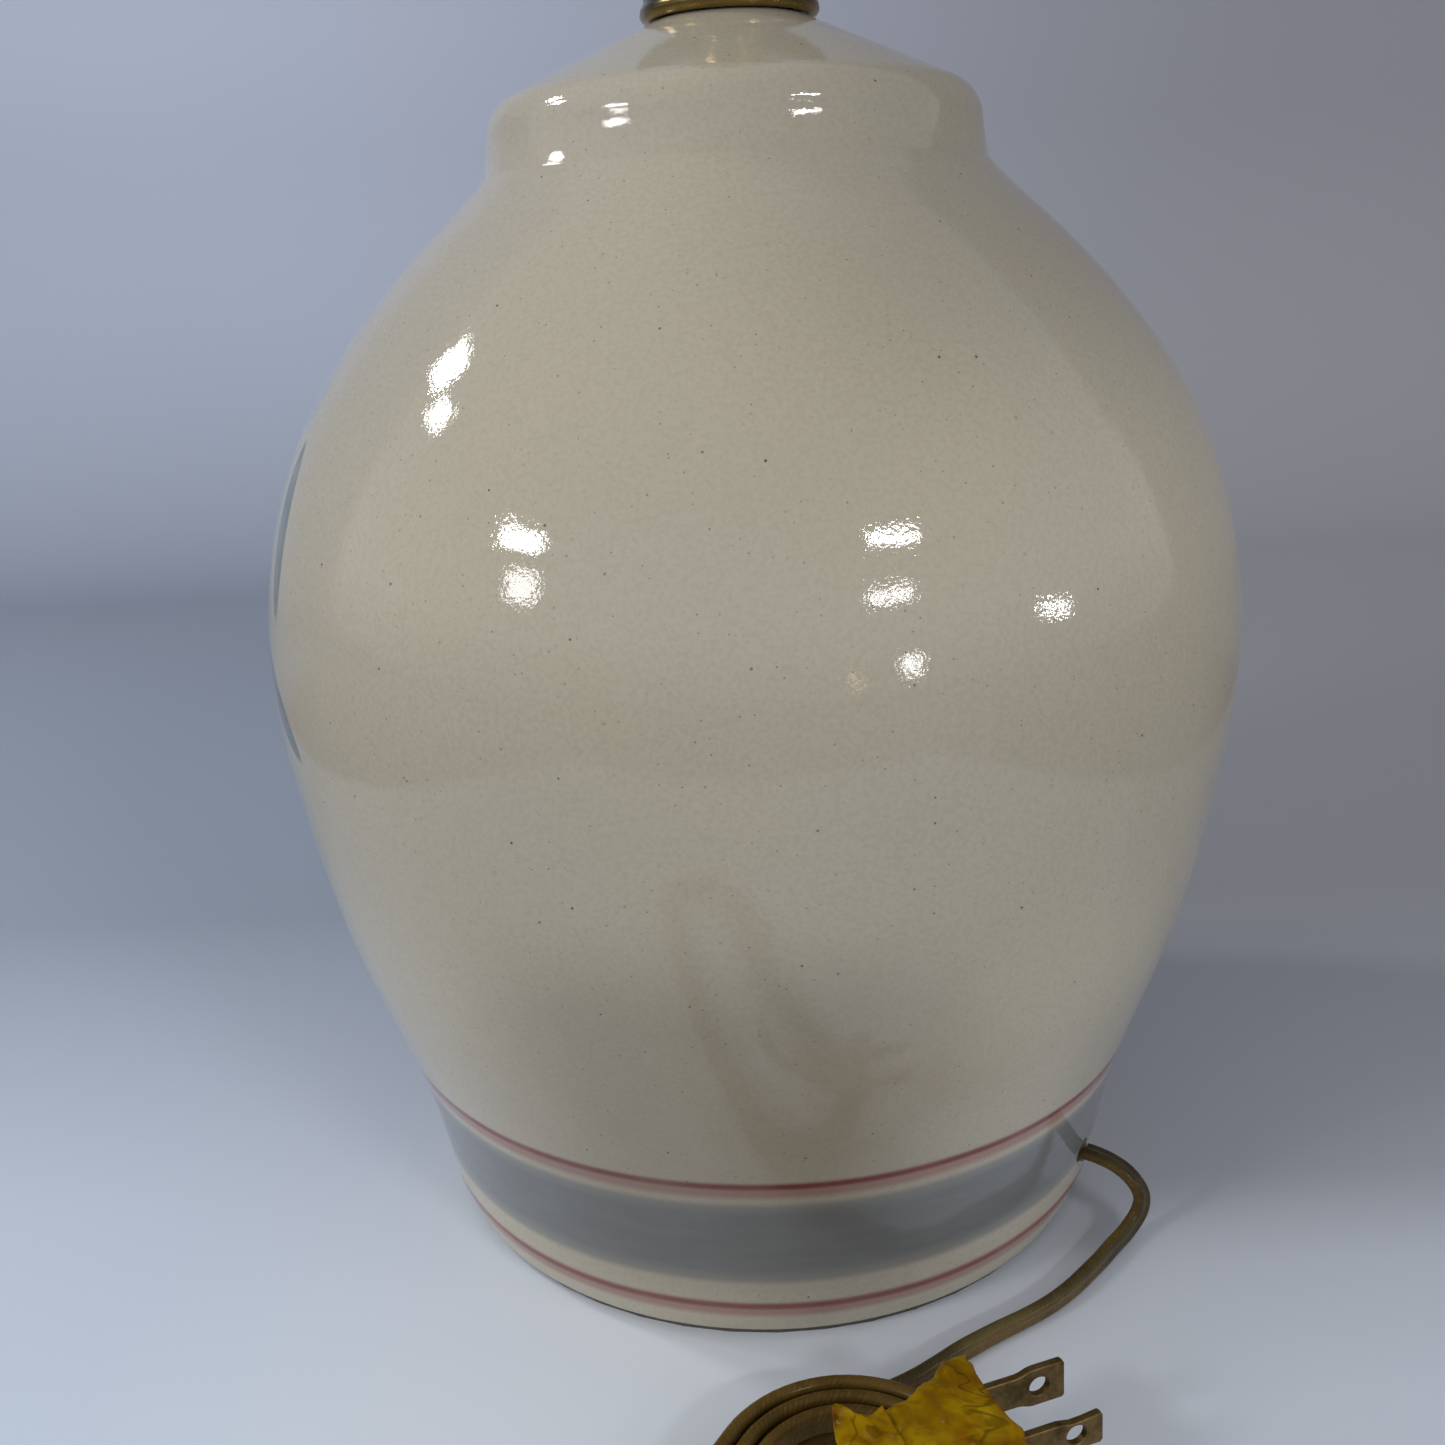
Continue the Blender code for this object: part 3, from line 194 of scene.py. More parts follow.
def spray_of_petals(nodes, axes, base):
    """Loose brush strokes of pale blue petals and dark green leaves on the side that faces left."""
    left = smoothstep(nodes, axes.outputs["X"], -0.03, -0.05)
    wash = smoothstep(nodes, nodes.noise(110.0, 4.0, 0.6), 0.25, 0.70)
    for y, z, turn, half_length, half_width, colour in STROKES:
        shape = nodes.add(
            "Mapping",
            {
                "Vector": nodes.place(),
                "Location": (0.0, y, z),
                "Rotation": (math.radians(turn), 0.0, 0.0),
                "Scale": (10.0, half_length, half_width),
            },
            vector_type="TEXTURE",
        ).outputs["Vector"]
        reach = nodes.add("VectorMath", {"Vector": shape}, operation="LENGTH").outputs["Value"]
        inside = nodes.math("SUBTRACT", 1.0, smoothstep(nodes, reach, 0.86, 1.0))
        inside = nodes.math("MULTIPLY", inside, left)
        inside = nodes.math("MULTIPLY", inside, nodes.math("MULTIPLY_ADD", wash, 0.3, 0.6))
        base = nodes.mix(inside, base, colour)
    return base


def glaze_material():
    """Cream glaze with fine specks, brown cloud mottling, a blue-grey band and two red lines, with painted
    shade on its lower front, across the front of its belly and high on its right.
    """
    nodes = Nodes("speckled_glaze")
    axes = nodes.add("SeparateXYZ", {"Vector": nodes.place()})
    wobble = nodes.math("MULTIPLY", nodes.math("SUBTRACT", nodes.noise(14.0, 2.0), 0.5), 0.0011)
    height = nodes.math("ADD", axes.outputs["Z"], wobble)

    # Brown cloud mottling on the lower front, over an even warm tint of that whole zone that is painted
    # shade.
    cloud = smoothstep(nodes, nodes.noise(26.0, 6.0, 0.62), 0.36, 0.72)
    low_zone = band(nodes, axes.outputs["Z"], 0.045, 0.088, 0.026)
    front = smoothstep(nodes, nodes.math("MULTIPLY", axes.outputs["Y"], -1.0), 0.050, 0.110)
    clouds_and_shade = nodes.math("MULTIPLY_ADD", cloud, 0.75, 0.25)
    clouds_and_shade = nodes.math("MULTIPLY", clouds_and_shade, nodes.math("MULTIPLY", low_zone, front))
    base = nodes.mix(smoothstep(nodes, nodes.noise(9.0, 3.0), 0.35, 0.7), GLAZE, GLAZE_COOL)
    base = nodes.mix(nodes.math("MULTIPLY", clouds_and_shade, 0.60), base, GLAZE_WARM)
    grain = smoothstep(nodes, nodes.noise(1100.0, 3.0, 0.6), 0.35, 0.70)
    base = nodes.mix(nodes.math("MULTIPLY", grain, 0.17), base, (0.25, 0.21, 0.15))

    for scale, size, strength, seed in ((800.0, 0.17, 0.60, 0.0), (300.0, 0.10, 0.90, 3.0)):
        moved = nodes.add("Mapping", {"Vector": nodes.place(), "Location": (seed, seed, seed)})
        spot = moved.outputs["Vector"]
        cells = nodes.add("TexVoronoi", {"Vector": spot, "Scale": scale, "Randomness": 1.0})
        dot = nodes.math("SUBTRACT", 1.0, smoothstep(nodes, cells.outputs["Distance"], size * 0.6, size))
        chosen = nodes.add("SeparateColor", {"Color": cells.outputs["Color"]}).outputs["Red"]
        chosen = smoothstep(nodes, chosen, 0.74, 0.97)
        spot = nodes.math("MULTIPLY", nodes.math("MULTIPLY", dot, chosen), strength)
        base = nodes.mix(spot, base, SPECK)

    blue = band(nodes, height, 0.0176, 0.0404, 0.0011)
    washy = smoothstep(nodes, nodes.noise(60.0, 4.0, 0.6, nodes.stretched((1.0, 1.0, 5.0))), 0.25, 0.75)
    blue_colour = nodes.mix(washy, BLUE_BAND, (0.176, 0.186, 0.192))
    edge = band(nodes, height, 0.0200, 0.0385, 0.0022)
    blue_colour = nodes.mix(edge, (0.245, 0.240, 0.225), blue_colour)
    base = nodes.mix(nodes.math("MULTIPLY", blue, 0.93), base, blue_colour)
    for middle, depth in ((0.0454, 0.70), (0.0104, 0.55)):
        soft = band(nodes, height, middle - 0.0030, middle + 0.0011, 0.0012)
        core = band(nodes, height, middle - 0.0005, middle + 0.0011, 0.0006)
        uneven = smoothstep(nodes, nodes.noise(120.0, 3.0), 0.15, 0.55)
        base = nodes.mix(nodes.math("MULTIPLY", soft, 0.80), base, PINK_LINE)
        core = nodes.math("MULTIPLY", core, nodes.math("MULTIPLY_ADD", uneven, 0.25, depth))
        base = nodes.mix(core, base, RED_LINE)
    base = spray_of_petals(nodes, axes, base)

    # Painted shade: the glaze is darkened on the low front, across the front of the belly and high up on the
    # right side.
    below = band(nodes, axes.outputs["Z"], 0.012, 0.100, 0.016)
    middle = band(nodes, axes.outputs["X"], -0.048, 0.030, 0.022)
    facing = smoothstep(nodes, axes.outputs["Y"], 0.0, -0.06)
    painted_shade_low = nodes.math("MULTIPLY", nodes.math("MULTIPLY", below, middle), facing)
    belly = nodes.math("MULTIPLY", band(nodes, axes.outputs["Z"], 0.095, 0.155, 0.02), facing)
    upper = smoothstep(nodes, axes.outputs["Z"], 0.180, 0.225)
    upper = nodes.math("MULTIPLY", upper, smoothstep(nodes, axes.outputs["X"], -0.025, 0.035))
    for place, strength in ((painted_shade_low, 0.38), (belly, 0.12), (upper, 0.24)):
        base = nodes.mix(nodes.math("MULTIPLY", place, strength), base, PAINTED_SHADE)

    throwing = nodes.noise(50.0, 2.0, 0.5, nodes.stretched((0.25, 0.25, 2.2)))
    skin = nodes.bump(throwing, 0.08, 0.0010)
    skin = nodes.bump(nodes.noise(420.0, 2.0, 0.5), 0.05, 0.00025, skin)
    skin = nodes.bump(nodes.noise(1200.0, 2.0, 0.6), 0.21, 0.00010, skin)
    return nodes.finish(Base_Color=base, Roughness=0.03, IOR=1.50, Normal=skin)


def metal_material(name, colour, dark, roughness, patina, grain=(1.0, 1.0, 1.0), painted_dark_top=None):
    """A worn metal with darker patches, fine grain and small dents, and, when a colour is given for it, a
    painted dark reflection on the faces that look up.
    """
    nodes = Nodes(name)
    broad = nodes.math("MULTIPLY", nodes.noise(130.0, 5.0, 0.65), 0.65)
    mottled = nodes.math("MULTIPLY_ADD", nodes.noise(650.0, 4.0, 0.7), 0.35, broad)
    patches = smoothstep(nodes, mottled, 0.38, 0.66)
    fine = nodes.noise(1800.0, 3.0, 0.6, nodes.stretched(grain))
    base = nodes.mix(nodes.math("MULTIPLY", patches, patina), colour, dark)
    base = nodes.mix(nodes.math("MULTIPLY", fine, 0.18), base, dark)
    # Painted reflection: faces that look up take a dark colour, standing in for a dark room mirrored there.
    if painted_dark_top:
        facing = nodes.add("SeparateXYZ", {"Vector": nodes.add("TexCoord").outputs["Normal"]}).outputs["Z"]
        base = nodes.mix(nodes.math("MULTIPLY", smoothstep(nodes, facing, -0.55, 0.45), 0.9), base, painted_dark_top)
    rough = nodes.math("MULTIPLY_ADD", patches, 0.16, roughness)
    rough = nodes.math("ADD", rough, nodes.math("MULTIPLY", nodes.math("SUBTRACT", fine, 0.5), 0.10))
    skin = nodes.bump(fine, 0.10, 0.0001)
    skin = nodes.bump(nodes.noise(90.0, 2.0), 0.10, 0.0006, skin)
    return nodes.finish(Base_Color=base, Metallic=1.0, Roughness=rough, Normal=skin)


def plastic_material(name, colour, roughness, mottled=0.25, pits=0.0002):
    nodes = Nodes(name)
    marble = smoothstep(nodes, nodes.noise(95.0, 4.0, 0.6, distortion=1.2), 0.35, 0.75)
    lighter = tuple(channel * 1.7 + 0.006 for channel in colour)
    base = nodes.mix(nodes.math("MULTIPLY", marble, mottled), colour, lighter)
    rough = nodes.math("MULTIPLY_ADD", nodes.noise(260.0, 3.0), 0.14, roughness - 0.07)
    skin = nodes.bump(nodes.noise(1400.0, 2.0), 0.18, pits)
    return nodes.finish(Base_Color=base, Roughness=rough, Normal=skin)


def felt_material():
    nodes = Nodes("brown_felt")
    fibres = nodes.noise(900.0, 5.0, 0.75, distortion=1.5)
    base = nodes.ramp(fibres, (0.25, (0.030, 0.022, 0.016)), (0.75, (0.105, 0.080, 0.060)))
    skin = nodes.bump(fibres, 0.8, 0.0004)
    return nodes.finish(Base_Color=base, Roughness=0.95, Sheen_Weight=0.4, Normal=skin)


def fibre_material():
    nodes = Nodes("pressed_fibre")
    fibres = nodes.noise(500.0, 5.0, 0.7, nodes.stretched((1.0, 1.0, 0.2)))
    base = nodes.ramp(fibres, (0.3, (0.16, 0.105, 0.058)), (0.75, (0.28, 0.20, 0.12)))
    skin = nodes.bump(fibres, 0.4, 0.0002)
    return nodes.finish(Base_Color=base, Roughness=0.85, Normal=skin)


def cord_material():
    """Clear golden vinyl over two twisted conductors, with painted shade in dark olive; U runs along the
    cord and V round it.
    """
    nodes = Nodes("gold_vinyl_cord")
    where = nodes.add("SeparateXYZ", {"Vector": nodes.add("UVMap", uv_map="cord").outputs["UV"]})
    along, around = where.outputs["X"], where.outputs["Y"]
    facing = nodes.add("SeparateXYZ", {"Vector": nodes.add("TexCoord").outputs["Normal"]}).outputs["Z"]
    twist = nodes.math("ADD", nodes.math("MULTIPLY", along, 5200.0), nodes.math("MULTIPLY", around, 44.0))
    strand = nodes.math("MULTIPLY_ADD", nodes.math("SINE", twist), 0.5, 0.5)
    strand = nodes.math("MULTIPLY", strand, smoothstep(nodes, nodes.noise(520.0, 4.0, 0.65), 0.38, 0.66))
    cloud = smoothstep(nodes, nodes.noise(75.0, 3.0), 0.30, 0.72)
    gold = nodes.mix(cloud, (0.080, 0.045, 0.009), (0.130, 0.080, 0.020))
    gold = nodes.mix(nodes.math("MULTIPLY", strand, 0.35), gold, (0.230, 0.150, 0.050))
    # Painted shade: before the bend one side of the section is dark olive, and past it the side that faces
    # up; the olive is lighter past the bend.
    past_bend = smoothstep(nodes, along, 0.032, 0.060)
    dark_olive = nodes.mix(past_bend, (0.028, 0.020, 0.005), (0.050, 0.038, 0.012))
    pale_olive = nodes.mix(past_bend, (0.058, 0.042, 0.012), (0.108, 0.082, 0.030))
    olive = nodes.mix(cloud, dark_olive, pale_olive)
    olive = nodes.mix(nodes.math("MULTIPLY", strand, 0.20), olive, (0.140, 0.100, 0.036))
    painted_shade_side = nodes.math("SUBTRACT", 1.0, smoothstep(nodes, around, 0.64, 0.76))
    upper_side = nodes.math("MULTIPLY", smoothstep(nodes, facing, -0.15, 0.80), 0.80)
    shaded = nodes.math("MULTIPLY", painted_shade_side, nodes.math("SUBTRACT", 1.0, past_bend))
    shaded = nodes.math("MULTIPLY_ADD", upper_side, past_bend, shaded)
    loose = nodes.mix(shaded, gold, olive)
    amber = nodes.mix(cloud, (0.075, 0.042, 0.007), (0.150, 0.088, 0.018))
    amber = nodes.mix(nodes.math("MULTIPLY", strand, 0.30), amber, (0.220, 0.140, 0.040))
    base = nodes.mix(smoothstep(nodes, along, 0.098, 0.125), loose, amber)
    skin = nodes.bump(nodes.noise(110.0, 2.0), 0.12, 0.0004)
    skin = nodes.bump(strand, 0.05, 0.00008, skin)
    return nodes.finish(
        Base_Color=base,
        Roughness=0.24,
        Specular_IOR_Level=0.16,
        Coat_Weight=0.04,
        Coat_Roughness=0.08,
        Normal=skin,
    )


def film_material():
    """Crumpled amber film: deep yellow folds, orange where it doubles, pale scuffs."""
    nodes = Nodes("amber_film")
    broad = nodes.noise(120.0, 3.0, 0.55, distortion=0.6)
    base = nodes.ramp(
        broad,
        (0.28, (0.120, 0.055, 0.0005)),
        (0.43, (0.215, 0.112, 0.0005)),
        (0.56, (0.300, 0.175, 0.001)),
        (0.72, (0.370, 0.240, 0.002)),
    )
    amber = smoothstep(nodes, nodes.noise(95.0, 3.0, 0.6, nodes.stretched((1.0, 1.4, 1.0)), 1.2), 0.52, 0.66)
    base = nodes.mix(nodes.math("MULTIPLY", amber, 0.50), base, (0.230, 0.075, 0.002))
    # Crease lines: raised in the bump below, and darkened as painted shade.
    crease_and_shade = nodes.math("ABSOLUTE", nodes.math("SUBTRACT", nodes.noise(85.0, 2.0, 0.5, distortion=0.8), 0.5))
    crease_and_shade = nodes.math("SUBTRACT", 1.0, smoothstep(nodes, crease_and_shade, 0.003, 0.022))
    crease_and_shade = nodes.math("MULTIPLY", crease_and_shade, smoothstep(nodes, nodes.noise(70.0, 2.0), 0.46, 0.60))
    base = nodes.mix(nodes.math("MULTIPLY", crease_and_shade, 0.50), base, (0.045, 0.024, 0.0005))
    scuff = smoothstep(nodes, nodes.noise(520.0, 4.0, 0.7), 0.63, 0.72)
    base = nodes.mix(nodes.math("MULTIPLY", scuff, 0.22), base, (0.62, 0.56, 0.42))
    skin = nodes.bump(broad, 0.6, 0.0022)
    skin = nodes.bump(crease_and_shade, 0.4, 0.0006, skin)
    return nodes.finish(
        Base_Color=base,
        Roughness=0.30,
        Specular_IOR_Level=0.06,
        Subsurface_Weight=0.15,
        Subsurface_Scale=0.002,
        Coat_Weight=0.03,
        Coat_Roughness=0.10,
        Normal=skin,
    )


# Shapes


def finish_mesh(name, shape, material, body="lamp", angle=40):
    """Turns a bmesh into a smooth-shaded piece that rides on a body."""
    bmesh.ops.recalc_face_normals(shape, faces=shape.faces)
    mesh = bpy.data.meshes.new(name)
    shape.to_mesh(mesh)
    shape.free()
    mesh.shade_smooth()
    mesh.set_sharp_from_angle(angle=math.radians(angle))
    mesh.materials.append(material)
    piece = bpy.data.objects.new(name, mesh)
    bpy.context.scene.collection.objects.link(piece)
    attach(piece, body)
    return piece


def bridge(shape, first, second):
    """Faces between two closed rings of equally many points."""
    for step in range(len(first)):
        after = (step + 1) % len(first)
        shape.faces.new((first[step], first[after], second[after], second[step]))


def catmull(points, steps):
    """A smooth curve through the points."""
    knots = [Vector(point) for point in points]
    knots = [2 * knots[0] - knots[1], *knots, 2 * knots[-1] - knots[-2]]
    curve = []
    for before, start, end, after in zip(knots, knots[1:], knots[2:], knots[3:]):
        for step in range(steps):
            t = step / steps
            curve.append(
                0.5
                * (
                    2 * start
                    + (end - before) * t
                    + (2 * before - 5 * start + 4 * end - after) * t**2
                    + (3 * start - before - 3 * end + after) * t**3
                )
            )
    curve.append(knots[-2])
    return curve


# The cord: the free run, the hank and the run to the plug, as in the CAD

CORD_WIDTH = 0.0056
CORD_THICKNESS = 0.0028
WIRE_GAP = 0.00045
FLOOR_CLEARANCE = 0.0001
HANK_CENTRE = Vector((0.0125, -0.1302, 0))
HANK_DIRECTION = math.radians(240)
HANK_RUN = 0.1120
HANK_FOLD_RADIUS = 0.0168
HANK_PITCH = 0.0037
FOLD_STEPS = 8
RUN_STEPS = 4
HANK_START_STEP = 6
HANK_LOOPS = 4.583
HANK_TURN_BACK = 1.667
HANK_CLIMB_HALF = 0.083
FREE_RUN_ROLL = 0.45
FREE_RUN_TURNS_FROM = 0.72
PLUG_RUN_TURNS_FROM = 0.55
PLUG_RUN_TURNS_OVER = 0.40
FREE_ROUTE = (
    (0.0733, -0.0449, 0.0194), (0.0759, -0.0465, 0.0192), (0.0787, -0.0482, 0.0185),
    (0.0813, -0.0497, 0.0171), (0.0833, -0.0507, 0.0150), (0.0847, -0.0509, 0.0123),
    (0.0852, -0.0507, 0.0094), (0.0846, -0.0510, 0.0067), (0.0829, -0.0522, 0.0047),
    (0.0804, -0.0545, 0.0035), (0.0771, -0.0578, 0.0030), (0.0731, -0.0624, 0.0029),
    (0.0691, -0.0667, 0.0029), (0.0650, -0.0709, 0.0029), (0.0607, -0.0747, 0.0029),
    (0.0563, -0.0779, 0.0029), (0.0516, -0.0808, 0.0029), (0.0469, -0.0835, 0.0029),
    (0.0422, -0.0864, 0.0029), (0.0372, -0.0897, 0.0029), (0.0318, -0.0938, 0.0029),
    (0.0260, -0.0978, 0.0029),
)
PLUG_ROUTE = (
    (-0.0084, -0.2226, 0.0097), (-0.0044, -0.2156, 0.0117), (-0.0008, -0.2088, 0.0138),
    (0.0022, -0.2020, 0.0151), (0.0042, -0.1950, 0.0154), (0.0050, -0.1880, 0.0155),
    (0.0044, -0.1810, 0.0156), (0.0026, -0.1740, 0.0158), (0.0002, -0.1670, 0.0161),
    (-0.0016, -0.1600, 0.0166), (-0.0018, -0.1530, 0.0173), (0.0000, -0.1466, 0.0180),
    (0.0036, -0.1417, 0.0187), (0.00777, -0.1372, 0.01934), (0.01306, -0.13537, 0.01944),
)


def hank_point(step):
    """The hank's centre line after so many steps; the coil narrows, climbs one layer and widens."""
    loop_steps = 2 * (FOLD_STEPS + RUN_STEPS)
    turns = (step - HANK_START_STEP) / loop_steps
    radius = HANK_FOLD_RADIUS + HANK_PITCH * abs(turns - HANK_TURN_BACK)
    climb = min(max((turns - HANK_TURN_BACK) / (2 * HANK_CLIMB_HALF) + 0.5, 0), 1)
    layer = climb * climb * (3 - 2 * climb)
    along = Vector((math.cos(HANK_DIRECTION), math.sin(HANK_DIRECTION), 0))
    spot = step % loop_steps
    quarter = HANK_DIRECTION + math.pi / 2
    if spot <= FOLD_STEPS:
        angle, run = quarter + math.pi * spot / FOLD_STEPS, 0
    elif spot < FOLD_STEPS + RUN_STEPS:
        angle, run = quarter + math.pi, (spot - FOLD_STEPS) / RUN_STEPS
    elif spot <= 2 * FOLD_STEPS + RUN_STEPS:
        angle, run = quarter + math.pi + math.pi * (spot - FOLD_STEPS - RUN_STEPS) / FOLD_STEPS, 1
    else:
        angle, run = quarter, 1 - (spot - 2 * FOLD_STEPS - RUN_STEPS) / RUN_STEPS
    outward = Vector((math.cos(angle), math.sin(angle), 0))
    rise = FLOOR_CLEARANCE + CORD_WIDTH / 2 + layer * (CORD_WIDTH + WIRE_GAP)
    return HANK_CENTRE + along * HANK_RUN * run + outward * radius + Vector((0, 0, rise))


def hank_points():
    """The hank's whole centre line, with a short straight lead-in."""
    loop_steps = 2 * (FOLD_STEPS + RUN_STEPS)
    last = HANK_START_STEP + round(HANK_LOOPS * loop_steps)
    whole = [hank_point(HANK_START_STEP + step / 2) for step in range(2 * (last - HANK_START_STEP) + 1)]
    start = (hank_point(HANK_START_STEP) - hank_point(HANK_START_STEP + 1)).normalized()
    return [whole[0] + start * 2 * CORD_WIDTH, whole[0] + start * CORD_WIDTH, *whole]


def cord_section():
    """The figure-of-eight section of a two-wire cord: two round lobes joined side by side."""
    lobe = CORD_THICKNESS / 2
    offset = CORD_WIDTH / 2 - lobe
    points = []
    for centre, start in ((offset, -128), (-offset, 52)):
        for step in range(11):
            angle = math.radians(start + 256 * step / 10)
            points.append((centre + lobe * math.cos(angle), lobe * math.sin(angle)))
    return points


def swept(name, path, widths, section, material, body="lamp"):
    """A section carried along a path; widths says how the section's long side lies at each point."""
    shape = bmesh.new()
    layer = shape.loops.layers.uv.new("cord")
    rings = []
    travelled = [0.0]
    for first, second in zip(path, path[1:]):
        travelled.append(travelled[-1] + (second - first).length)
    for step, point in enumerate(path):
        before = path[max(step - 1, 0)]
        after = path[min(step + 1, len(path) - 1)]
        along = (after - before).normalized()
        wide = widths[step] - along * widths[step].dot(along)
        wide.normalize()
        thin = along.cross(wide)
        rings.append([shape.verts.new(point + wide * x + thin * y) for x, y in section])
    count = len(section)
    for step in range(len(rings) - 1):
        for side in range(count):
            after = (side + 1) % count
            ring, following = rings[step], rings[step + 1]
            face = shape.faces.new((ring[side], ring[after], following[after], following[side]))
            spots = ((step, side), (step, side + 1), (step + 1, side + 1), (step + 1, side))
            for loop, (place, turn) in zip(face.loops, spots):
                loop[layer].uv = (travelled[place], turn / count)
    shape.faces.new(rings[0])
    shape.faces.new(rings[-1])
    return finish_mesh(name, shape, material, body, 75)


def make_cord(material):
    """One cord from the body's hole to the plug."""
    hank = hank_points()
    free = catmull([*FREE_ROUTE, hank[0]], 4)[:-1]
    middle = catmull(hank, 2)
    last = catmull([hank[-1], *PLUG_ROUTE], 4)[1:]
    path = free + middle + last
    widths = []
    flat = Vector((-0.3271, 0.9445, -0.0349))
    for step, point in enumerate(path):
        if step < len(free):
            share = step / len(free)
            turn = min(max((share - FREE_RUN_TURNS_FROM) / (1 - FREE_RUN_TURNS_FROM), 0), 1)
            outward = (point - CAMERA_PLACE).normalized()
            along = (path[step + 1] - point).normalized()
            edge_on = (outward + along.cross(outward) * FREE_RUN_ROLL).normalized()
            widths.append(edge_on * (1 - turn) + Vector((0, 0, -1)) * turn)
        elif step < len(free) + len(middle):
            widths.append(Vector((0, 0, -1)))
        else:
            share = (step - len(free) - len(middle)) / len(last)
            turn = min(max((share - PLUG_RUN_TURNS_FROM) / PLUG_RUN_TURNS_OVER, 0), 1)
            widths.append(Vector((0, 0, -1)) * (1 - turn) + flat * turn)
    cord = swept("lamp_cord", path, widths, cord_section(), material)
    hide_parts("cord_free_run", "cord_hank", "cord_plug_run")
    return cord, path


cord_look = cord_material()
cord, cord_path = make_cord(cord_look)


# The glazed body, as in the CAD but with finer curves

FELT_THICKNESS = 0.0012
BODY_BASE = FELT_THICKNESS + 0.0003
BODY_HEIGHT = 0.2684
BODY_TOP = BODY_BASE + BODY_HEIGHT
BELLY_RADIUS = 0.1103
FOOT_RADIUS = 0.0811
FOOT_WIDTH = 0.0150
FOOT_EDGE = 0.0020
WALL = 0.0055
COLLAR_RADIUS = 0.0530
COLLAR_CORNER = 0.0085
TOP_FLAT_RADIUS = 0.0137
TOP_FLAT_EASE = 0.0006
INNER_SEAT_RADIUS = 0.0163
FOOT_INNER_RISE = 0.005
SHOULDER_SLOPE = math.radians(24)
NECK_HOLE_RADIUS = 0.0060
CORD_HOLE_RADIUS = 0.0030
CORD_HOLE_HEIGHT = 0.0194
CORD_HOLE_AZIMUTH = math.radians(-31.5)
WALL_SHARES = (
    (0.030, 0.757), (0.098, 0.786), (0.165, 0.828), (0.265, 0.907),
    (0.402, 0.976), (0.505, 1.000), (0.606, 0.971), (0.708, 0.875),
    (0.776, 0.758), (0.844, 0.598), (0.869, 0.531), (0.886, 0.491),
)
WELD_DISTANCE = 0.000004
SMOOTH_ANGLE = 38


def arc(centre, radius, start, end, steps):
    """Points on an arc, with its angles in degrees."""
    points = []
    for step in range(steps + 1):
        angle = math.radians(start + (end - start) * step / steps)
        points.append((centre[0] + radius * math.cos(angle), centre[1] + radius * math.sin(angle)))
    return points


def natural_spline(knots, steps):
    """A curve with continuous curvature through (radius, height) knots."""
    knots = np.array(knots)
    spans = np.linalg.norm(np.diff(knots, axis=0), axis=1)
    count = len(knots)
    matrix = np.eye(count)
    pull = np.zeros((count, 2))
    for row in range(1, count - 1):
        before, after = spans[row - 1], spans[row]
        matrix[row, row - 1 : row + 2] = before, 2 * (before + after), after
        slope_after = (knots[row + 1] - knots[row]) / after
        slope_before = (knots[row] - knots[row - 1]) / before
        pull[row] = 6 * (slope_after - slope_before)
    bend = np.linalg.solve(matrix, pull)
    curve = []
    for row, span in enumerate(spans):
        for step in range(steps):
            t = step / steps
            rest = 1 - t
            point = rest * knots[row] + t * knots[row + 1]
            point = point + span**2 / 6 * ((rest**3 - rest) * bend[row] + (t**3 - t) * bend[row + 1])
            curve.append(tuple(point))
    curve.append(tuple(knots[-1]))
    return curve


def lathe_mesh(outline, sides):
    """A closed outline of (radius, height) points turned about Z."""
    shape = bmesh.new()
    rings = []
    for radius, height in outline:
        if radius == 0:
            rings.append([shape.verts.new((0, 0, height))])
            continue
        angles = [2 * math.pi * step / sides for step in range(sides)]
        rings.append([shape.verts.new((radius * math.cos(a), radius * math.sin(a), height)) for a in angles])
    for lower, upper in zip(rings, rings[1:] + rings[:1]):
        for step in range(sides):
            after = step + 1
            corners = (
                lower[step % len(lower)],
                lower[after % len(lower)],
                upper[after % len(upper)],
                upper[step % len(upper)],
            )
            corners = list(dict.fromkeys(corners))
            if len(corners) > 2:
                shape.faces.new(corners)
    return shape


def shoulder_height(radius):
    return BODY_TOP - (radius - TOP_FLAT_RADIUS) * math.tan(SHOULDER_SLOPE)


def body_outline():
    """The body's closed section: the outside from foot to top, then the inside back down."""
    wall = [(BELLY_RADIUS * out, BODY_BASE + BODY_HEIGHT * up) for up, out in WALL_SHARES]
    wall = natural_spline(wall, 10)
    corner_angle = 90 - math.degrees(SHOULDER_SLOPE)
    corner_radius = COLLAR_RADIUS - COLLAR_CORNER
    corner_end = corner_radius + COLLAR_CORNER * math.cos(math.radians(corner_angle))
    corner_height = shoulder_height(corner_end) - COLLAR_CORNER * math.sin(math.radians(corner_angle))
    outer = arc((FOOT_RADIUS - FOOT_EDGE, BODY_BASE + FOOT_EDGE), FOOT_EDGE, -90, 0, 6) + wall
    outer += arc((corner_radius, corner_height), COLLAR_CORNER, 0, corner_angle, 16)
    eased_radius = TOP_FLAT_RADIUS + TOP_FLAT_EASE
    outer += [(eased_radius, shoulder_height(eased_radius)), (TOP_FLAT_RADIUS, BODY_TOP)]
    outer += [(NECK_HOLE_RADIUS, BODY_TOP)]
    drop = WALL / math.cos(SHOULDER_SLOPE)
    seat_height = shoulder_height(INNER_SEAT_RADIUS) - drop
    inner = [
        (NECK_HOLE_RADIUS, seat_height),
        (INNER_SEAT_RADIUS, seat_height),
        (corner_radius, shoulder_height(corner_radius) - drop),
        (COLLAR_RADIUS - WALL, corner_height),
    ]
    inside_wall = [(radius - WALL, height) for radius, height in reversed(wall[6::4])]
    inner += [point for point in inside_wall if point[1] < corner_height - WALL]
    foot_inner = FOOT_RADIUS - FOOT_WIDTH
    inner += [(foot_inner, BODY_BASE + FOOT_INNER_RISE), (foot_inner, BODY_BASE)]
    return outer + inner


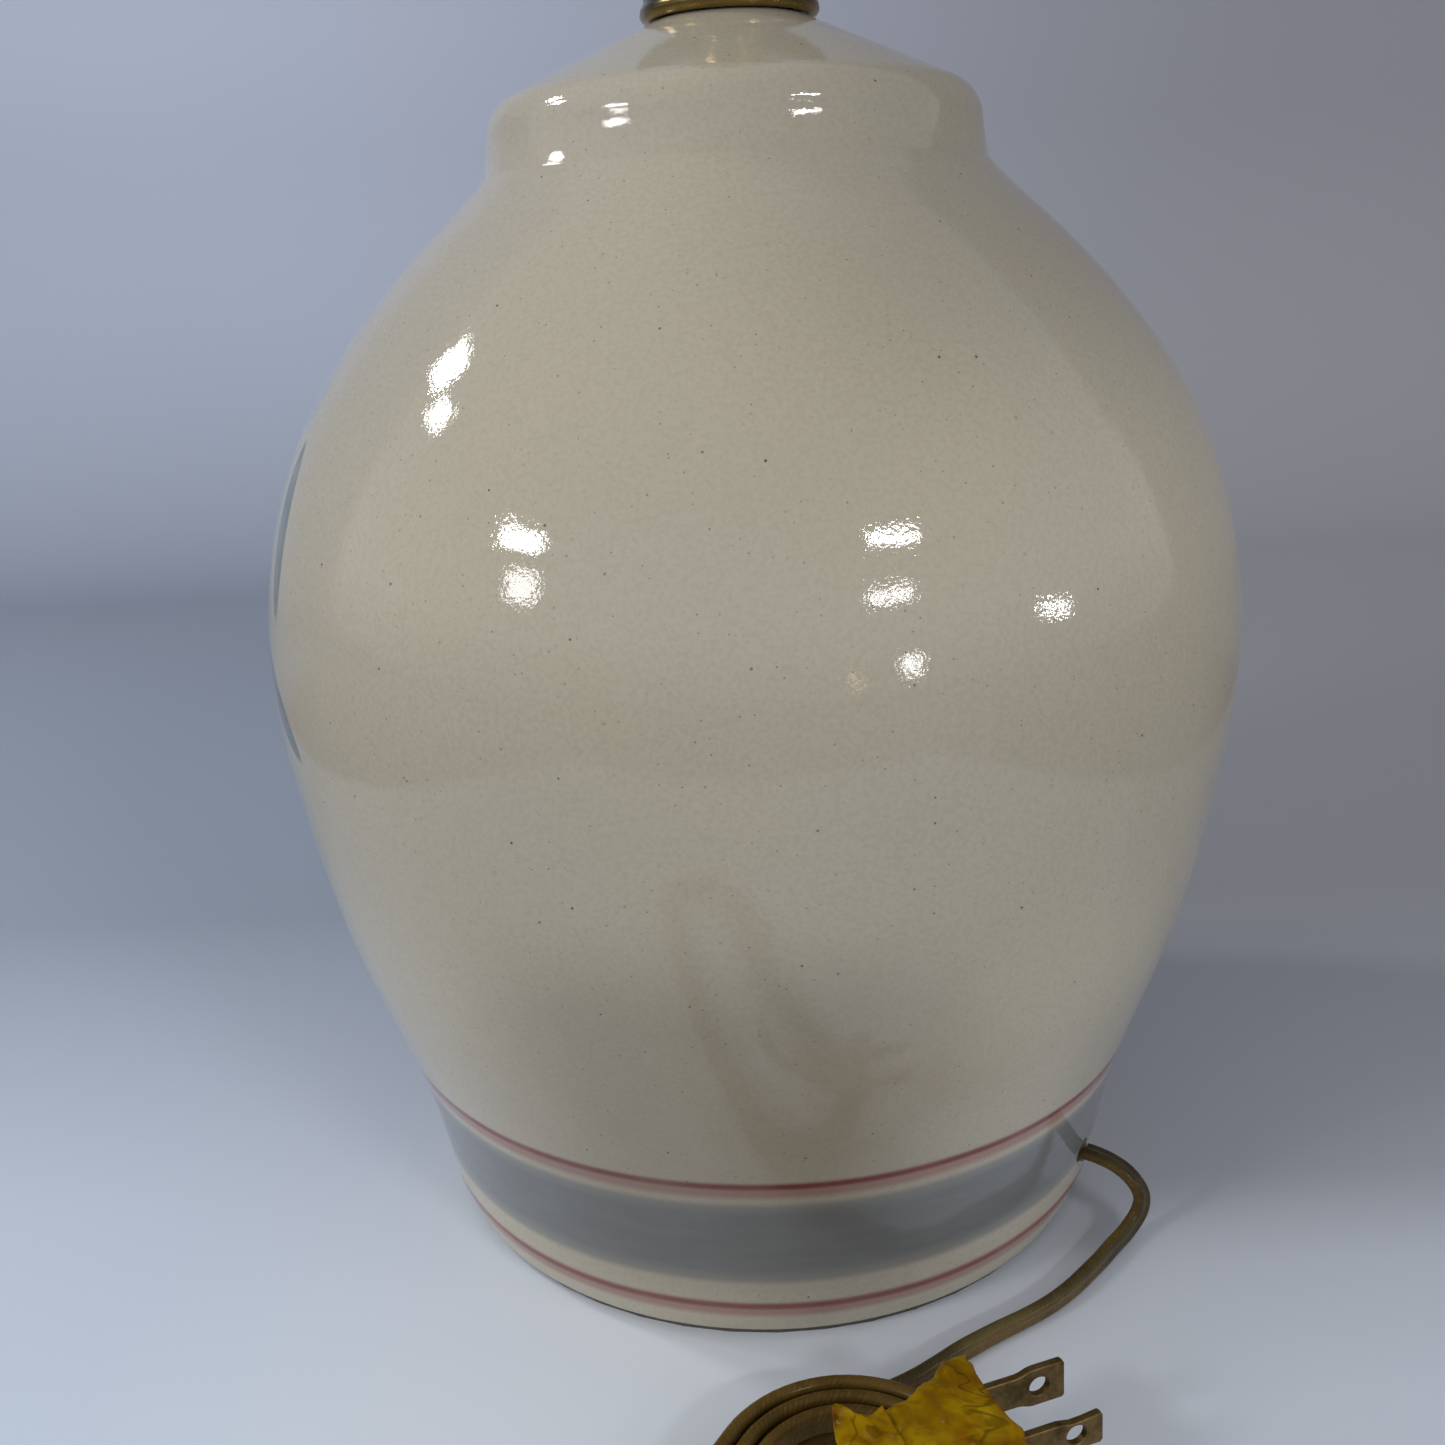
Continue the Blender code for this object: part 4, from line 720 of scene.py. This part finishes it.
def drilled(piece, start, end, radius):
    """Cuts a round hole, and keeps the result as plain mesh."""
    depth = (end - start).length
    shape = lathe_mesh([(0, 0), (radius, 0), (radius, depth), (0, depth)], 40)
    turn = (end - start).to_track_quat("Z", "Y").to_matrix().to_4x4()
    shape.transform(Matrix.Translation(start) @ turn)
    bmesh.ops.recalc_face_normals(shape, faces=shape.faces)
    mesh = bpy.data.meshes.new("drill")
    shape.to_mesh(mesh)
    shape.free()
    drill = bpy.data.objects.new("drill", mesh)
    bpy.context.scene.collection.objects.link(drill)
    modifier = piece.modifiers.new("hole", "BOOLEAN")
    modifier.object = drill
    keep_result(piece)
    bpy.data.objects.remove(drill, do_unlink=True)


def keep_result(piece):
    """Replaces a piece's mesh with what its modifiers make of it."""
    bpy.context.view_layer.update()
    evaluated = piece.evaluated_get(bpy.context.evaluated_depsgraph_get())
    made = bpy.data.meshes.new_from_object(evaluated)
    piece.modifiers.clear()
    piece.data = made


def radial(radius, height, azimuth):
    """The point at a radius, height and azimuth about Z."""
    return Vector((radius * math.cos(azimuth), radius * math.sin(azimuth), height))


def make_body(material):
    """The turned jar with the cord's hole through its wall."""
    jar = finish_mesh("glazed_jar", lathe_mesh(body_outline(), 192), material, angle=50)
    inside = radial(FOOT_RADIUS - FOOT_WIDTH, CORD_HOLE_HEIGHT, CORD_HOLE_AZIMUTH)
    outside = radial(BELLY_RADIUS, CORD_HOLE_HEIGHT, CORD_HOLE_AZIMUTH)
    drilled(jar, inside, outside, CORD_HOLE_RADIUS)
    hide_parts("ceramic_body")


def smooth_copy(name):
    """A CAD part again, with its curves shaded smooth."""
    source = bpy.data.objects[name]
    shape = bmesh.new()
    shape.from_mesh(source.data)
    bmesh.ops.remove_doubles(shape, verts=shape.verts, dist=WELD_DISTANCE)
    bmesh.ops.dissolve_limit(
        shape, angle_limit=math.radians(1.0), verts=shape.verts, edges=shape.edges, delimit={"NORMAL"}
    )
    body = "switch_knob" if name in frame["record"]["behaviour"]["bodies"]["switch_knob"] else "lamp"
    piece = finish_mesh("fine_" + name, shape, LOOKS[name], body, SMOOTH_ANGLE)
    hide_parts(name)


# The plug and its tape

PLUG_FACE = Vector((0.0381, -0.1267, 0.0199))
PLUG_TURN = Matrix.Rotation(math.radians(19.1), 4, "Z") @ Matrix.Rotation(math.radians(-1), 4, "Y")
PLUG_FRAME = Matrix.Translation(PLUG_FACE) @ PLUG_TURN @ Matrix.Rotation(math.radians(-2), 4, "X")
PLUG_LENGTH = 0.0262
PLUG_STRAIGHT = 0.0030
PLUG_TAPER = PLUG_LENGTH - PLUG_STRAIGHT
PLUG_HALF_WIDTH = 0.0120
PLUG_TAIL_HALF_WIDTH = 0.0040
PLUG_HALF_HEIGHT = 0.00575
PLUG_TAIL_HALF_HEIGHT = 0.0035
PLUG_SIDES = 48
FINGER_RIDGES = (-0.021, -0.008)
RIDGE_PITCH = 0.00155
RIDGE_DEPTH = 0.00035
BLADE_SPREAD = 0.00635
BLADE_HALF_THICKNESS = 0.00075
BLADE_HOLE_PLACE = 0.0122
BLADE_HOLE_RADIUS = 0.0020
BLADE_EASE = 0.00022
FILM_GAP = 0.0003
FILM_EASE = 0.0004
FILM_HALF_HEIGHT = 0.0066
FILM_THICKNESS = 0.00018
FILM_TAIL = -0.0236
FLAP_START = -0.0196
FLAP_LENGTH = 0.0105
FLAP_NEAR_EDGE = -0.0046
FLAP_HEIGHT = 0.0074
FLAP_ROWS = 24
FLAP_COLUMNS = 14
# Half widths along the plug of the film's far side, and of its loose flap, as (x, half width)
FAR_EDGE = (
    (0.0008, 0.0124), (-0.0040, 0.0124), (-0.0100, 0.0084), (-0.0150, 0.0062),
    (-0.0192, 0.0048), (-0.0231, 0.0036),
)
FLAP_EDGE = (
    (-0.0205, 0.0046), (-0.0231, 0.0035), (-0.0246, 0.0042), (-0.0258, 0.0068),
    (-0.0268, 0.0082), (-0.0279, 0.0079), (-0.0288, 0.0052), (-0.0301, 0.0008),
)


def edge_at(edge, x):
    """The half width at x of an edge given by its points."""
    for (high_x, high_y), (low_x, low_y) in zip(edge, edge[1:]):
        if low_x <= x <= high_x:
            return low_y + (high_y - low_y) * (x - low_x) / (high_x - low_x)
    return edge[0][1] if x > edge[0][0] else edge[-1][1]


def superellipse(half_width, half_height, count, power=5.0):
    points = []
    for step in range(count):
        angle = 2 * math.pi * step / count
        c, s = math.cos(angle), math.sin(angle)
        points.append(
            (
                half_width * math.copysign(abs(c) ** (2 / power), c),
                half_height * math.copysign(abs(s) ** (2 / power), s),
            )
        )
    return points


def taper_share(x):
    """0 at the plug's broad end and 1 at its tail."""
    return min(max((-x - PLUG_STRAIGHT) / PLUG_TAPER, 0), 1)


def plug_half_width(x):
    """The wedge's half width, which stays inside the film."""
    wedge = PLUG_HALF_WIDTH - (PLUG_HALF_WIDTH - PLUG_TAIL_HALF_WIDTH) * taper_share(x)
    return min(wedge, edge_at(FAR_EDGE, x) - FILM_GAP)


def make_plug(material):
    """The moulded plug: a wedge with a rounded face and finger ridges on its sides."""
    shape = bmesh.new()
    stations = [(0.0, -0.0016), (-0.0003, -0.0009), (-0.0010, -0.0003), (-0.0020, 0.0)]
    stations += [(-PLUG_STRAIGHT - PLUG_TAPER * step / 30, 0.0) for step in range(30)]
    stations += [(-0.0256, -0.0002), (-0.0260, -0.0008), (-0.0262, -0.0016)]
    rings = []
    for x, inset in stations:
        ridge = 0.0
        if FINGER_RIDGES[0] < x < FINGER_RIDGES[1]:
            ridge = -RIDGE_DEPTH * (0.5 - 0.5 * math.cos(2 * math.pi * (x - FINGER_RIDGES[1]) / RIDGE_PITCH))
        half_width = plug_half_width(x) + inset + ridge
        half_height = PLUG_HALF_HEIGHT - (PLUG_HALF_HEIGHT - PLUG_TAIL_HALF_HEIGHT) * taper_share(x) + inset
        section = superellipse(half_width, half_height, PLUG_SIDES)
        rings.append([shape.verts.new((x, y, z)) for y, z in section])
    for first, second in zip(rings, rings[1:]):
        bridge(shape, first, second)
    shape.faces.new(rings[0])
    shape.faces.new(rings[-1])
    shape.transform(PLUG_FRAME)
    plug = finish_mesh("moulded_plug", shape, material)
    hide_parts("plug_body")
    return plug


def make_blade(name, node, middle, outline, material):
    """One contact blade with a drilled hole and eased edges."""
    shape = bmesh.new()
    circle = arc((BLADE_HOLE_PLACE, 0), BLADE_HOLE_RADIUS, 0, 345, 23)
    sides = []
    for y in (-BLADE_HALF_THICKNESS, BLADE_HALF_THICKNESS):
        rim = [shape.verts.new((x, y, z)) for x, z in outline]
        hole = [shape.verts.new((x, y, z)) for x, z in circle]
        edges = []
        for loop in (rim, hole):
            for step in range(len(loop)):
                edges.append(shape.edges.new((loop[step], loop[(step + 1) % len(loop)])))
        bmesh.ops.triangle_fill(shape, use_beauty=True, edges=edges)
        sides.append((rim, hole))
    for first, second in zip(*sides):
        bridge(shape, first, second)
    bmesh.ops.dissolve_limit(shape, angle_limit=math.radians(1), verts=shape.verts, edges=shape.edges)
    shape.transform(PLUG_FRAME @ Matrix.Translation((0, middle, 0)))
    blade = finish_mesh(name, shape, material)
    modifier = blade.modifiers.new("eased", "BEVEL")
    modifier.width = BLADE_EASE
    modifier.segments = 2
    modifier.limit_method = "ANGLE"
    modifier.angle_limit = math.radians(50)
    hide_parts(node)
    return blade


def make_blades(material):
    """The polarised pair: the wide blade has full tips, and the narrow one a step below its tip."""
    wide = [
        (-0.0060, -0.00318),
        (0.0076, -0.00318),
        (0.0086, -0.00335),
        (0.0100, -0.00385),
        (0.0108, -0.00397),
        (0.0170, -0.00397),
        (0.0175, -0.00350),
        (0.0175, 0.00350),
        (0.0170, 0.00397),
        (0.0108, 0.00397),
        (0.0100, 0.00385),
        (0.0086, 0.00335),
        (0.0076, 0.00318),
        (-0.0060, 0.00318),
    ]
    narrow = [
        (-0.0060, -0.00318),
        (0.0170, -0.00318),
        (0.0175, -0.00270),
        (0.0175, 0.00265),
        (0.0170, 0.00305),
        (0.0138, 0.00270),
        (0.0112, 0.00262),
        (0.0096, 0.00300),
        (0.0086, 0.00318),
        (-0.0060, 0.00318),
    ]
    return [
        make_blade("blade_wide", "plug_blade_wide", BLADE_SPREAD, wide, material),
        make_blade("blade_narrow", "plug_blade_narrow", -BLADE_SPREAD, narrow, material),
    ]


def crumple(point, scale, depth):
    """Sharp folds: the ridges of a smooth noise."""
    value = noise.noise(point * scale) + 0.5 * noise.noise(point * scale * 2.3 + Vector((3, 1, 7)))
    return depth * (1 - 2.6 * abs(value))


def make_film(material):
    """Crumpled film round the plug, with a loose pointed flap behind it."""
    shape = bmesh.new()
    around = 72
    stations = 44
    rings = []
    for step in range(stations + 1):
        ring = []
        for turn in range(around):
            angle = 2 * math.pi * turn / around
            front = 0.0002 + 0.0006 * math.sin(3 * angle + 1) + 0.0005 * math.sin(11 * angle)
            front -= 0.0024 * max(-math.cos(angle), 0) ** 3
            x = front + (FILM_TAIL - front) * step / stations
            half_width = edge_at(FAR_EDGE, x) + FILM_EASE
            y = half_width * math.copysign(abs(math.cos(angle)) ** (1 / 3), math.cos(angle))
            z = FILM_HALF_HEIGHT * math.copysign(abs(math.sin(angle)) ** (1 / 3), math.sin(angle))
            point = Vector((x, y, z))
            outward = Vector((0, y / half_width, z / FILM_HALF_HEIGHT)).normalized()
            point += outward * crumple(point, 230, 0.00042)
            ring.append(shape.verts.new(point))
        rings.append(ring)
    for first, second in zip(rings, rings[1:]):
        bridge(shape, first, second)
    rows = []
    for step in range(FLAP_ROWS + 1):
        down = step / FLAP_ROWS
        x = FLAP_START - FLAP_LENGTH * down
        row = []
        for turn in range(FLAP_COLUMNS + 1):
            share = turn / FLAP_COLUMNS
            y = FLAP_NEAR_EDGE + (edge_at(FLAP_EDGE, x) - FLAP_NEAR_EDGE) * share
            lift = FLAP_HEIGHT - 0.0012 * down**2 + 0.0009 * share * down
            point = Vector((x, y, lift))
            point.z += crumple(point, 260, 0.00050)
            row.append(shape.verts.new(point))
        rows.append(row)
    for first, second in zip(rows, rows[1:]):
        for turn in range(FLAP_COLUMNS):
            shape.faces.new((first[turn], first[turn + 1], second[turn + 1], second[turn]))
    shape.transform(PLUG_FRAME)
    film = finish_mesh("amber_wrap", shape, material, angle=60)
    thick = film.modifiers.new("film", "SOLIDIFY")
    thick.thickness = FILM_THICKNESS
    thick.offset = 0
    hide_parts("plug_tape")
    return film


# Materials of the carried-over parts

LENGTHWISE = (1.0, 1.0, 4.0)
BRASS = metal_material("polished_brass", (0.36, 0.25, 0.09), (0.12, 0.075, 0.025), 0.14, 0.45, LENGTHWISE)
# Dark colour painted on the cap's upward faces as the reflection of a dark room
CAP_PAINTED_DARK_TOP = (0.040, 0.034, 0.016)
CAP_BRASS = metal_material(
    "bronzed_brass", (0.330, 0.230, 0.075), (0.110, 0.075, 0.024), 0.16, 0.35, LENGTHWISE, CAP_PAINTED_DARK_TOP
)
DULL_BRASS = metal_material("dull_brass", (0.34, 0.26, 0.15), (0.12, 0.085, 0.05), 0.36, 0.6)
BLADE_BRASS = metal_material("tarnished_brass", (0.215, 0.143, 0.056), (0.060, 0.036, 0.013), 0.40, 0.85)
ZINC = metal_material("zinc_plate", (0.56, 0.56, 0.55), (0.25, 0.24, 0.22), 0.30, 0.4)
PHENOLIC = plastic_material("brown_phenolic", (0.022, 0.014, 0.010), 0.30)
BLACK_KNOB = plastic_material("black_phenolic", (0.012, 0.010, 0.009), 0.26)
PLUG_VINYL = plastic_material("gold_vinyl_plug", (0.130, 0.078, 0.026), 0.28, 0.5)
GLAZED = glaze_material()
FELT = felt_material()
FIBRE = fibre_material()
FILM = film_material()

PIECES = (
    (GLAZED, "ceramic_body"),
    (FELT, "felt_ring"),
    (ZINC, "inner_washer lock_washer hex_nut cap_set_screw terminal_screw_neutral"),
    (BRASS, "terminal_screw_hot lock_nut socket_cap socket_shell switch_spindle"),
    (CAP_BRASS, "brass_cap neck_ring"),
    (
        DULL_BRASS,
        "harp_saddle threaded_nipple screw_shell "
        "centre_contact terminal_plate_hot terminal_plate_neutral",
    ),
    (BLADE_BRASS, "plug_blade_wide plug_blade_narrow"),
    (FIBRE, "insulating_sleeve switch_rotor"),
    (PHENOLIC, "socket_insulator"),
    (BLACK_KNOB, "turn_knob"),
    (PLUG_VINYL, "inner_cord lead_hot lead_neutral plug_body"),
    (FILM, "plug_tape"),
)
LOOKS = {name: look for look, names in PIECES for name in names.split()}
for name, look in LOOKS.items():
    for place in bpy.data.objects[name].material_slots:
        place.material = look

make_body(GLAZED)
plug = make_plug(PLUG_VINYL)
blades = make_blades(BLADE_BRASS)
film = make_film(FILM)
SMOOTHED = (
    "felt_ring brass_cap neck_ring harp_saddle lock_nut socket_cap cap_set_screw socket_shell "
    "insulating_sleeve screw_shell socket_insulator turn_knob switch_spindle threaded_nipple "
    "inner_washer lock_washer hex_nut inner_cord lead_hot lead_neutral"
)
for name in SMOOTHED.split():
    smooth_copy(name)


# Floor, backdrop and light

SHEET_FLAT_END = 0.75
SHEET_CURVE = 0.35
# Colour of the sheet along its length, from the front floor to the top of the wall, left and right: painted
# light and shade, bright on the front floor, dark further back, and lighter again up the wall on the left.
SHEET_LEFT = (
    (-0.11, (0.63, 0.71, 0.83)),
    (-0.03, (0.60, 0.66, 0.77)),
    (0.14, (0.32, 0.37, 0.45)),
    (0.70, (0.27, 0.30, 0.37)),
    (1.15, (0.47, 0.52, 0.63)),
    (1.40, (0.56, 0.61, 0.74)),
)
SHEET_RIGHT = (
    (-0.10, (0.74, 0.79, 0.88)),
    (-0.06, (0.64, 0.68, 0.76)),
    (-0.03, (0.43, 0.45, 0.50)),
    (0.14, (0.31, 0.31, 0.34)),
    (0.70, (0.37, 0.37, 0.40)),
    (1.40, (0.36, 0.36, 0.40)),
)
SHEET_FRONT = -0.50
SHEET_LEFT_EDGE = -0.37
SHEET_RIGHT_EDGE = 0.33
SHEET_EDGE = 0.02
SHEET_BEYOND = (0.20, 0.20, 0.21)
SHEET_RAMP_START = -0.20
SHEET_RAMP_LENGTH = 1.70


def stage_sheet():
    """A pale floor that sweeps up into a backdrop behind the lamp; its colour carries painted light and
    shade, and painted shade past its front and side edges that only reflections and bounce light see.
    """
    shape = bmesh.new()
    layer = shape.loops.layers.uv.new("sheet")
    profile = [(y, 0.0, y) for y in (-4.0, -2.0, -1.0, -0.5, -0.25, 0.0, 0.25, 0.5, SHEET_FLAT_END)]
    for step in range(1, 17):
        angle = math.pi / 2 * step / 16
        profile.append(
            (
                SHEET_FLAT_END + SHEET_CURVE * math.sin(angle),
                SHEET_CURVE - SHEET_CURVE * math.cos(angle),
                SHEET_FLAT_END + SHEET_CURVE * angle,
            )
        )
    for rise in (0.3, 0.8, 2.0):
        profile.append((SHEET_FLAT_END + SHEET_CURVE, SHEET_CURVE + rise, profile[-1][2] + rise))
    columns = [-4.0, -2.0, -1.0, -0.5, -0.25, 0.0, 0.25, 0.5, 1.0, 2.0, 4.0]
    grid = [[shape.verts.new((x, *spot[:2])) for x in columns] for spot in profile]
    for row in range(len(profile) - 1):
        for step in range(len(columns) - 1):
            low, high = grid[row], grid[row + 1]
            face = shape.faces.new((low[step], low[step + 1], high[step + 1], high[step]))
            spots = ((row, step), (row, step + 1), (row + 1, step + 1), (row + 1, step))
            for loop, (place, column) in zip(face.loops, spots):
                loop[layer].uv = (columns[column], profile[place][2])
    mesh = bpy.data.meshes.new("backdrop")
    bmesh.ops.recalc_face_normals(shape, faces=shape.faces)
    shape.to_mesh(mesh)
    shape.free()
    mesh.shade_smooth()
    nodes = Nodes("pale_paper")
    where = nodes.add("SeparateXYZ", {"Vector": nodes.add("UVMap", uv_map="sheet").outputs["UV"]})
    length = nodes.math("SUBTRACT", where.outputs["Y"], SHEET_RAMP_START)
    length = nodes.math("DIVIDE", length, SHEET_RAMP_LENGTH)
    sides = []
    for stops in (SHEET_LEFT, SHEET_RIGHT):
        placed = [((spot - SHEET_RAMP_START) / SHEET_RAMP_LENGTH, colour) for spot, colour in stops]
        sides.append(nodes.ramp(length, *placed))
    spread = nodes.math("MULTIPLY_ADD", nodes.math("MAXIMUM", where.outputs["Y"], 0.0), 0.35, 0.14)
    across = smoothstep(nodes, nodes.math("DIVIDE", where.outputs["X"], spread), -0.9, 0.9)
    base = nodes.mix(across, *sides)
    # Painted light: the paper is paler in a pool around the front of the foot.
    centred = nodes.add("Mapping", {"Vector": nodes.place(), "Location": (0.02, 0.115, 0.0)})
    centred = centred.outputs["Vector"]
    reach = nodes.add("VectorMath", {"Vector": centred}, operation="LENGTH").outputs["Value"]
    painted_light_pool = nodes.math("SUBTRACT", 1.0, smoothstep(nodes, reach, 0.03, 0.15))
    base = nodes.mix(nodes.math("MULTIPLY", painted_light_pool, 0.55), base, (0.80, 0.83, 0.86))
    # Painted shade for reflections and bounce light: past the front and side edges of a table the sheet is
    # dark grey, while camera rays still see pale paper.
    beyond = smoothstep(nodes, where.outputs["Y"], SHEET_FRONT, SHEET_FRONT - SHEET_EDGE)
    for edge, outwards in ((SHEET_LEFT_EDGE, -SHEET_EDGE), (SHEET_RIGHT_EDGE, SHEET_EDGE)):
        past = smoothstep(nodes, where.outputs["X"], edge, edge + outwards)
        beyond = nodes.math("MAXIMUM", beyond, past)
    beyond = nodes.math("MULTIPLY", beyond, smoothstep(nodes, where.outputs["Y"], 0.45, 0.25))
    beyond = nodes.math("MULTIPLY", beyond, smoothstep(nodes, reach, 5.0, 0.4))
    unseen = nodes.math("SUBTRACT", 1.0, nodes.add("LightPath").outputs["Is Camera Ray"])
    base = nodes.mix(nodes.math("MULTIPLY", beyond, unseen), base, SHEET_BEYOND)
    mesh.materials.append(nodes.finish(Base_Color=base, Roughness=0.85))
    sheet = bpy.data.objects.new("backdrop", mesh)
    bpy.context.scene.collection.objects.link(sheet)


def lamp(name, place, facing, size, power, colour=(1, 1, 1), roll=0):
    """A rectangular lamp at a place, turned towards the spot on the body that it shines on."""
    light = bpy.data.lights.new(name, "AREA")
    light.shape = "RECTANGLE"
    light.size, light.size_y = size
    light.energy = power
    light.color = colour
    item = bpy.data.objects.new(name, light)
    item.location = place
    aim = (Vector(place) - Vector(facing)).to_track_quat("Z", "Y")
    item.rotation_euler = (aim @ Quaternion((0, 0, 1), math.radians(roll))).to_euler()
    item.visible_camera = False
    bpy.context.scene.collection.objects.link(item)


stage_sheet()
lamp("left_high", (-1.074, 0.286, 1.092), (-0.052, -0.071, 0.204), (0.13, 0.15), 3.6)
lamp("left_low", (-1.175, 0.105, 1.015), (-0.054, -0.077, 0.196), (0.14, 0.11), 1.8)
lamp("front_left_high", (-1.082, -0.807, 0.780), (-0.038, -0.096, 0.178), (0.25, 0.10), 3.6)
lamp("front_left_low", (-1.105, -0.913, 0.567), (-0.038, -0.098, 0.170), (0.18, 0.13), 1.1)
lamp("front_right_high", (0.724, -1.131, 0.815), (0.023, -0.101, 0.176), (0.26, 0.055), 2.8, roll=-8)
lamp("front_right_low", (0.712, -1.260, 0.553), (0.023, -0.104, 0.168), (0.24, 0.065), 0.9)
lamp("right_lamp", (1.347, -0.607, 0.298), (0.051, -0.095, 0.162), (0.20, 0.016), 0.7, roll=-9)
lamp("front_lamp", (0.797, -1.273, 0.204), (0.026, -0.106, 0.156), (0.11, 0.08), 0.5)
lamp("warm_lamp", (0.523, -1.413, 0.160), (0.017, -0.108, 0.153), (0.06, 0.05), 0.05, (1.0, 0.70, 0.40))

world = bpy.data.worlds.new("room")
world.use_nodes = True
bpy.context.scene.world = world
background = world.node_tree.nodes["Background"]
background.inputs["Color"].default_value = (0.92, 0.95, 1.0, 1)
direction = world.node_tree.nodes.new("ShaderNodeTexCoord").outputs["Generated"]
upward = world.node_tree.nodes.new("ShaderNodeSeparateXYZ")
shade = world.node_tree.nodes.new("ShaderNodeMapRange")
haze = world.node_tree.nodes.new("ShaderNodeMapRange")
join = world.node_tree.nodes.new("ShaderNodeMath")
join.operation = "MULTIPLY"
world.node_tree.links.new(direction, upward.inputs["Vector"])
for node, low, high, start, end, spot in ((shade, 0.1, 0.8, 0.72, 0.42, 0), (haze, 0.0, 0.16, 0.62, 1.0, 1)):
    node.interpolation_type = "SMOOTHSTEP"
    for key, value in (("From Min", low), ("From Max", high), ("To Min", start), ("To Max", end)):
        node.inputs[key].default_value = value
    world.node_tree.links.new(upward.outputs["Z"], node.inputs["Value"])
    world.node_tree.links.new(node.outputs["Result"], join.inputs[spot])
world.node_tree.links.new(join.outputs["Value"], background.inputs["Strength"])

bpy.context.scene.view_settings.view_transform = "Standard"
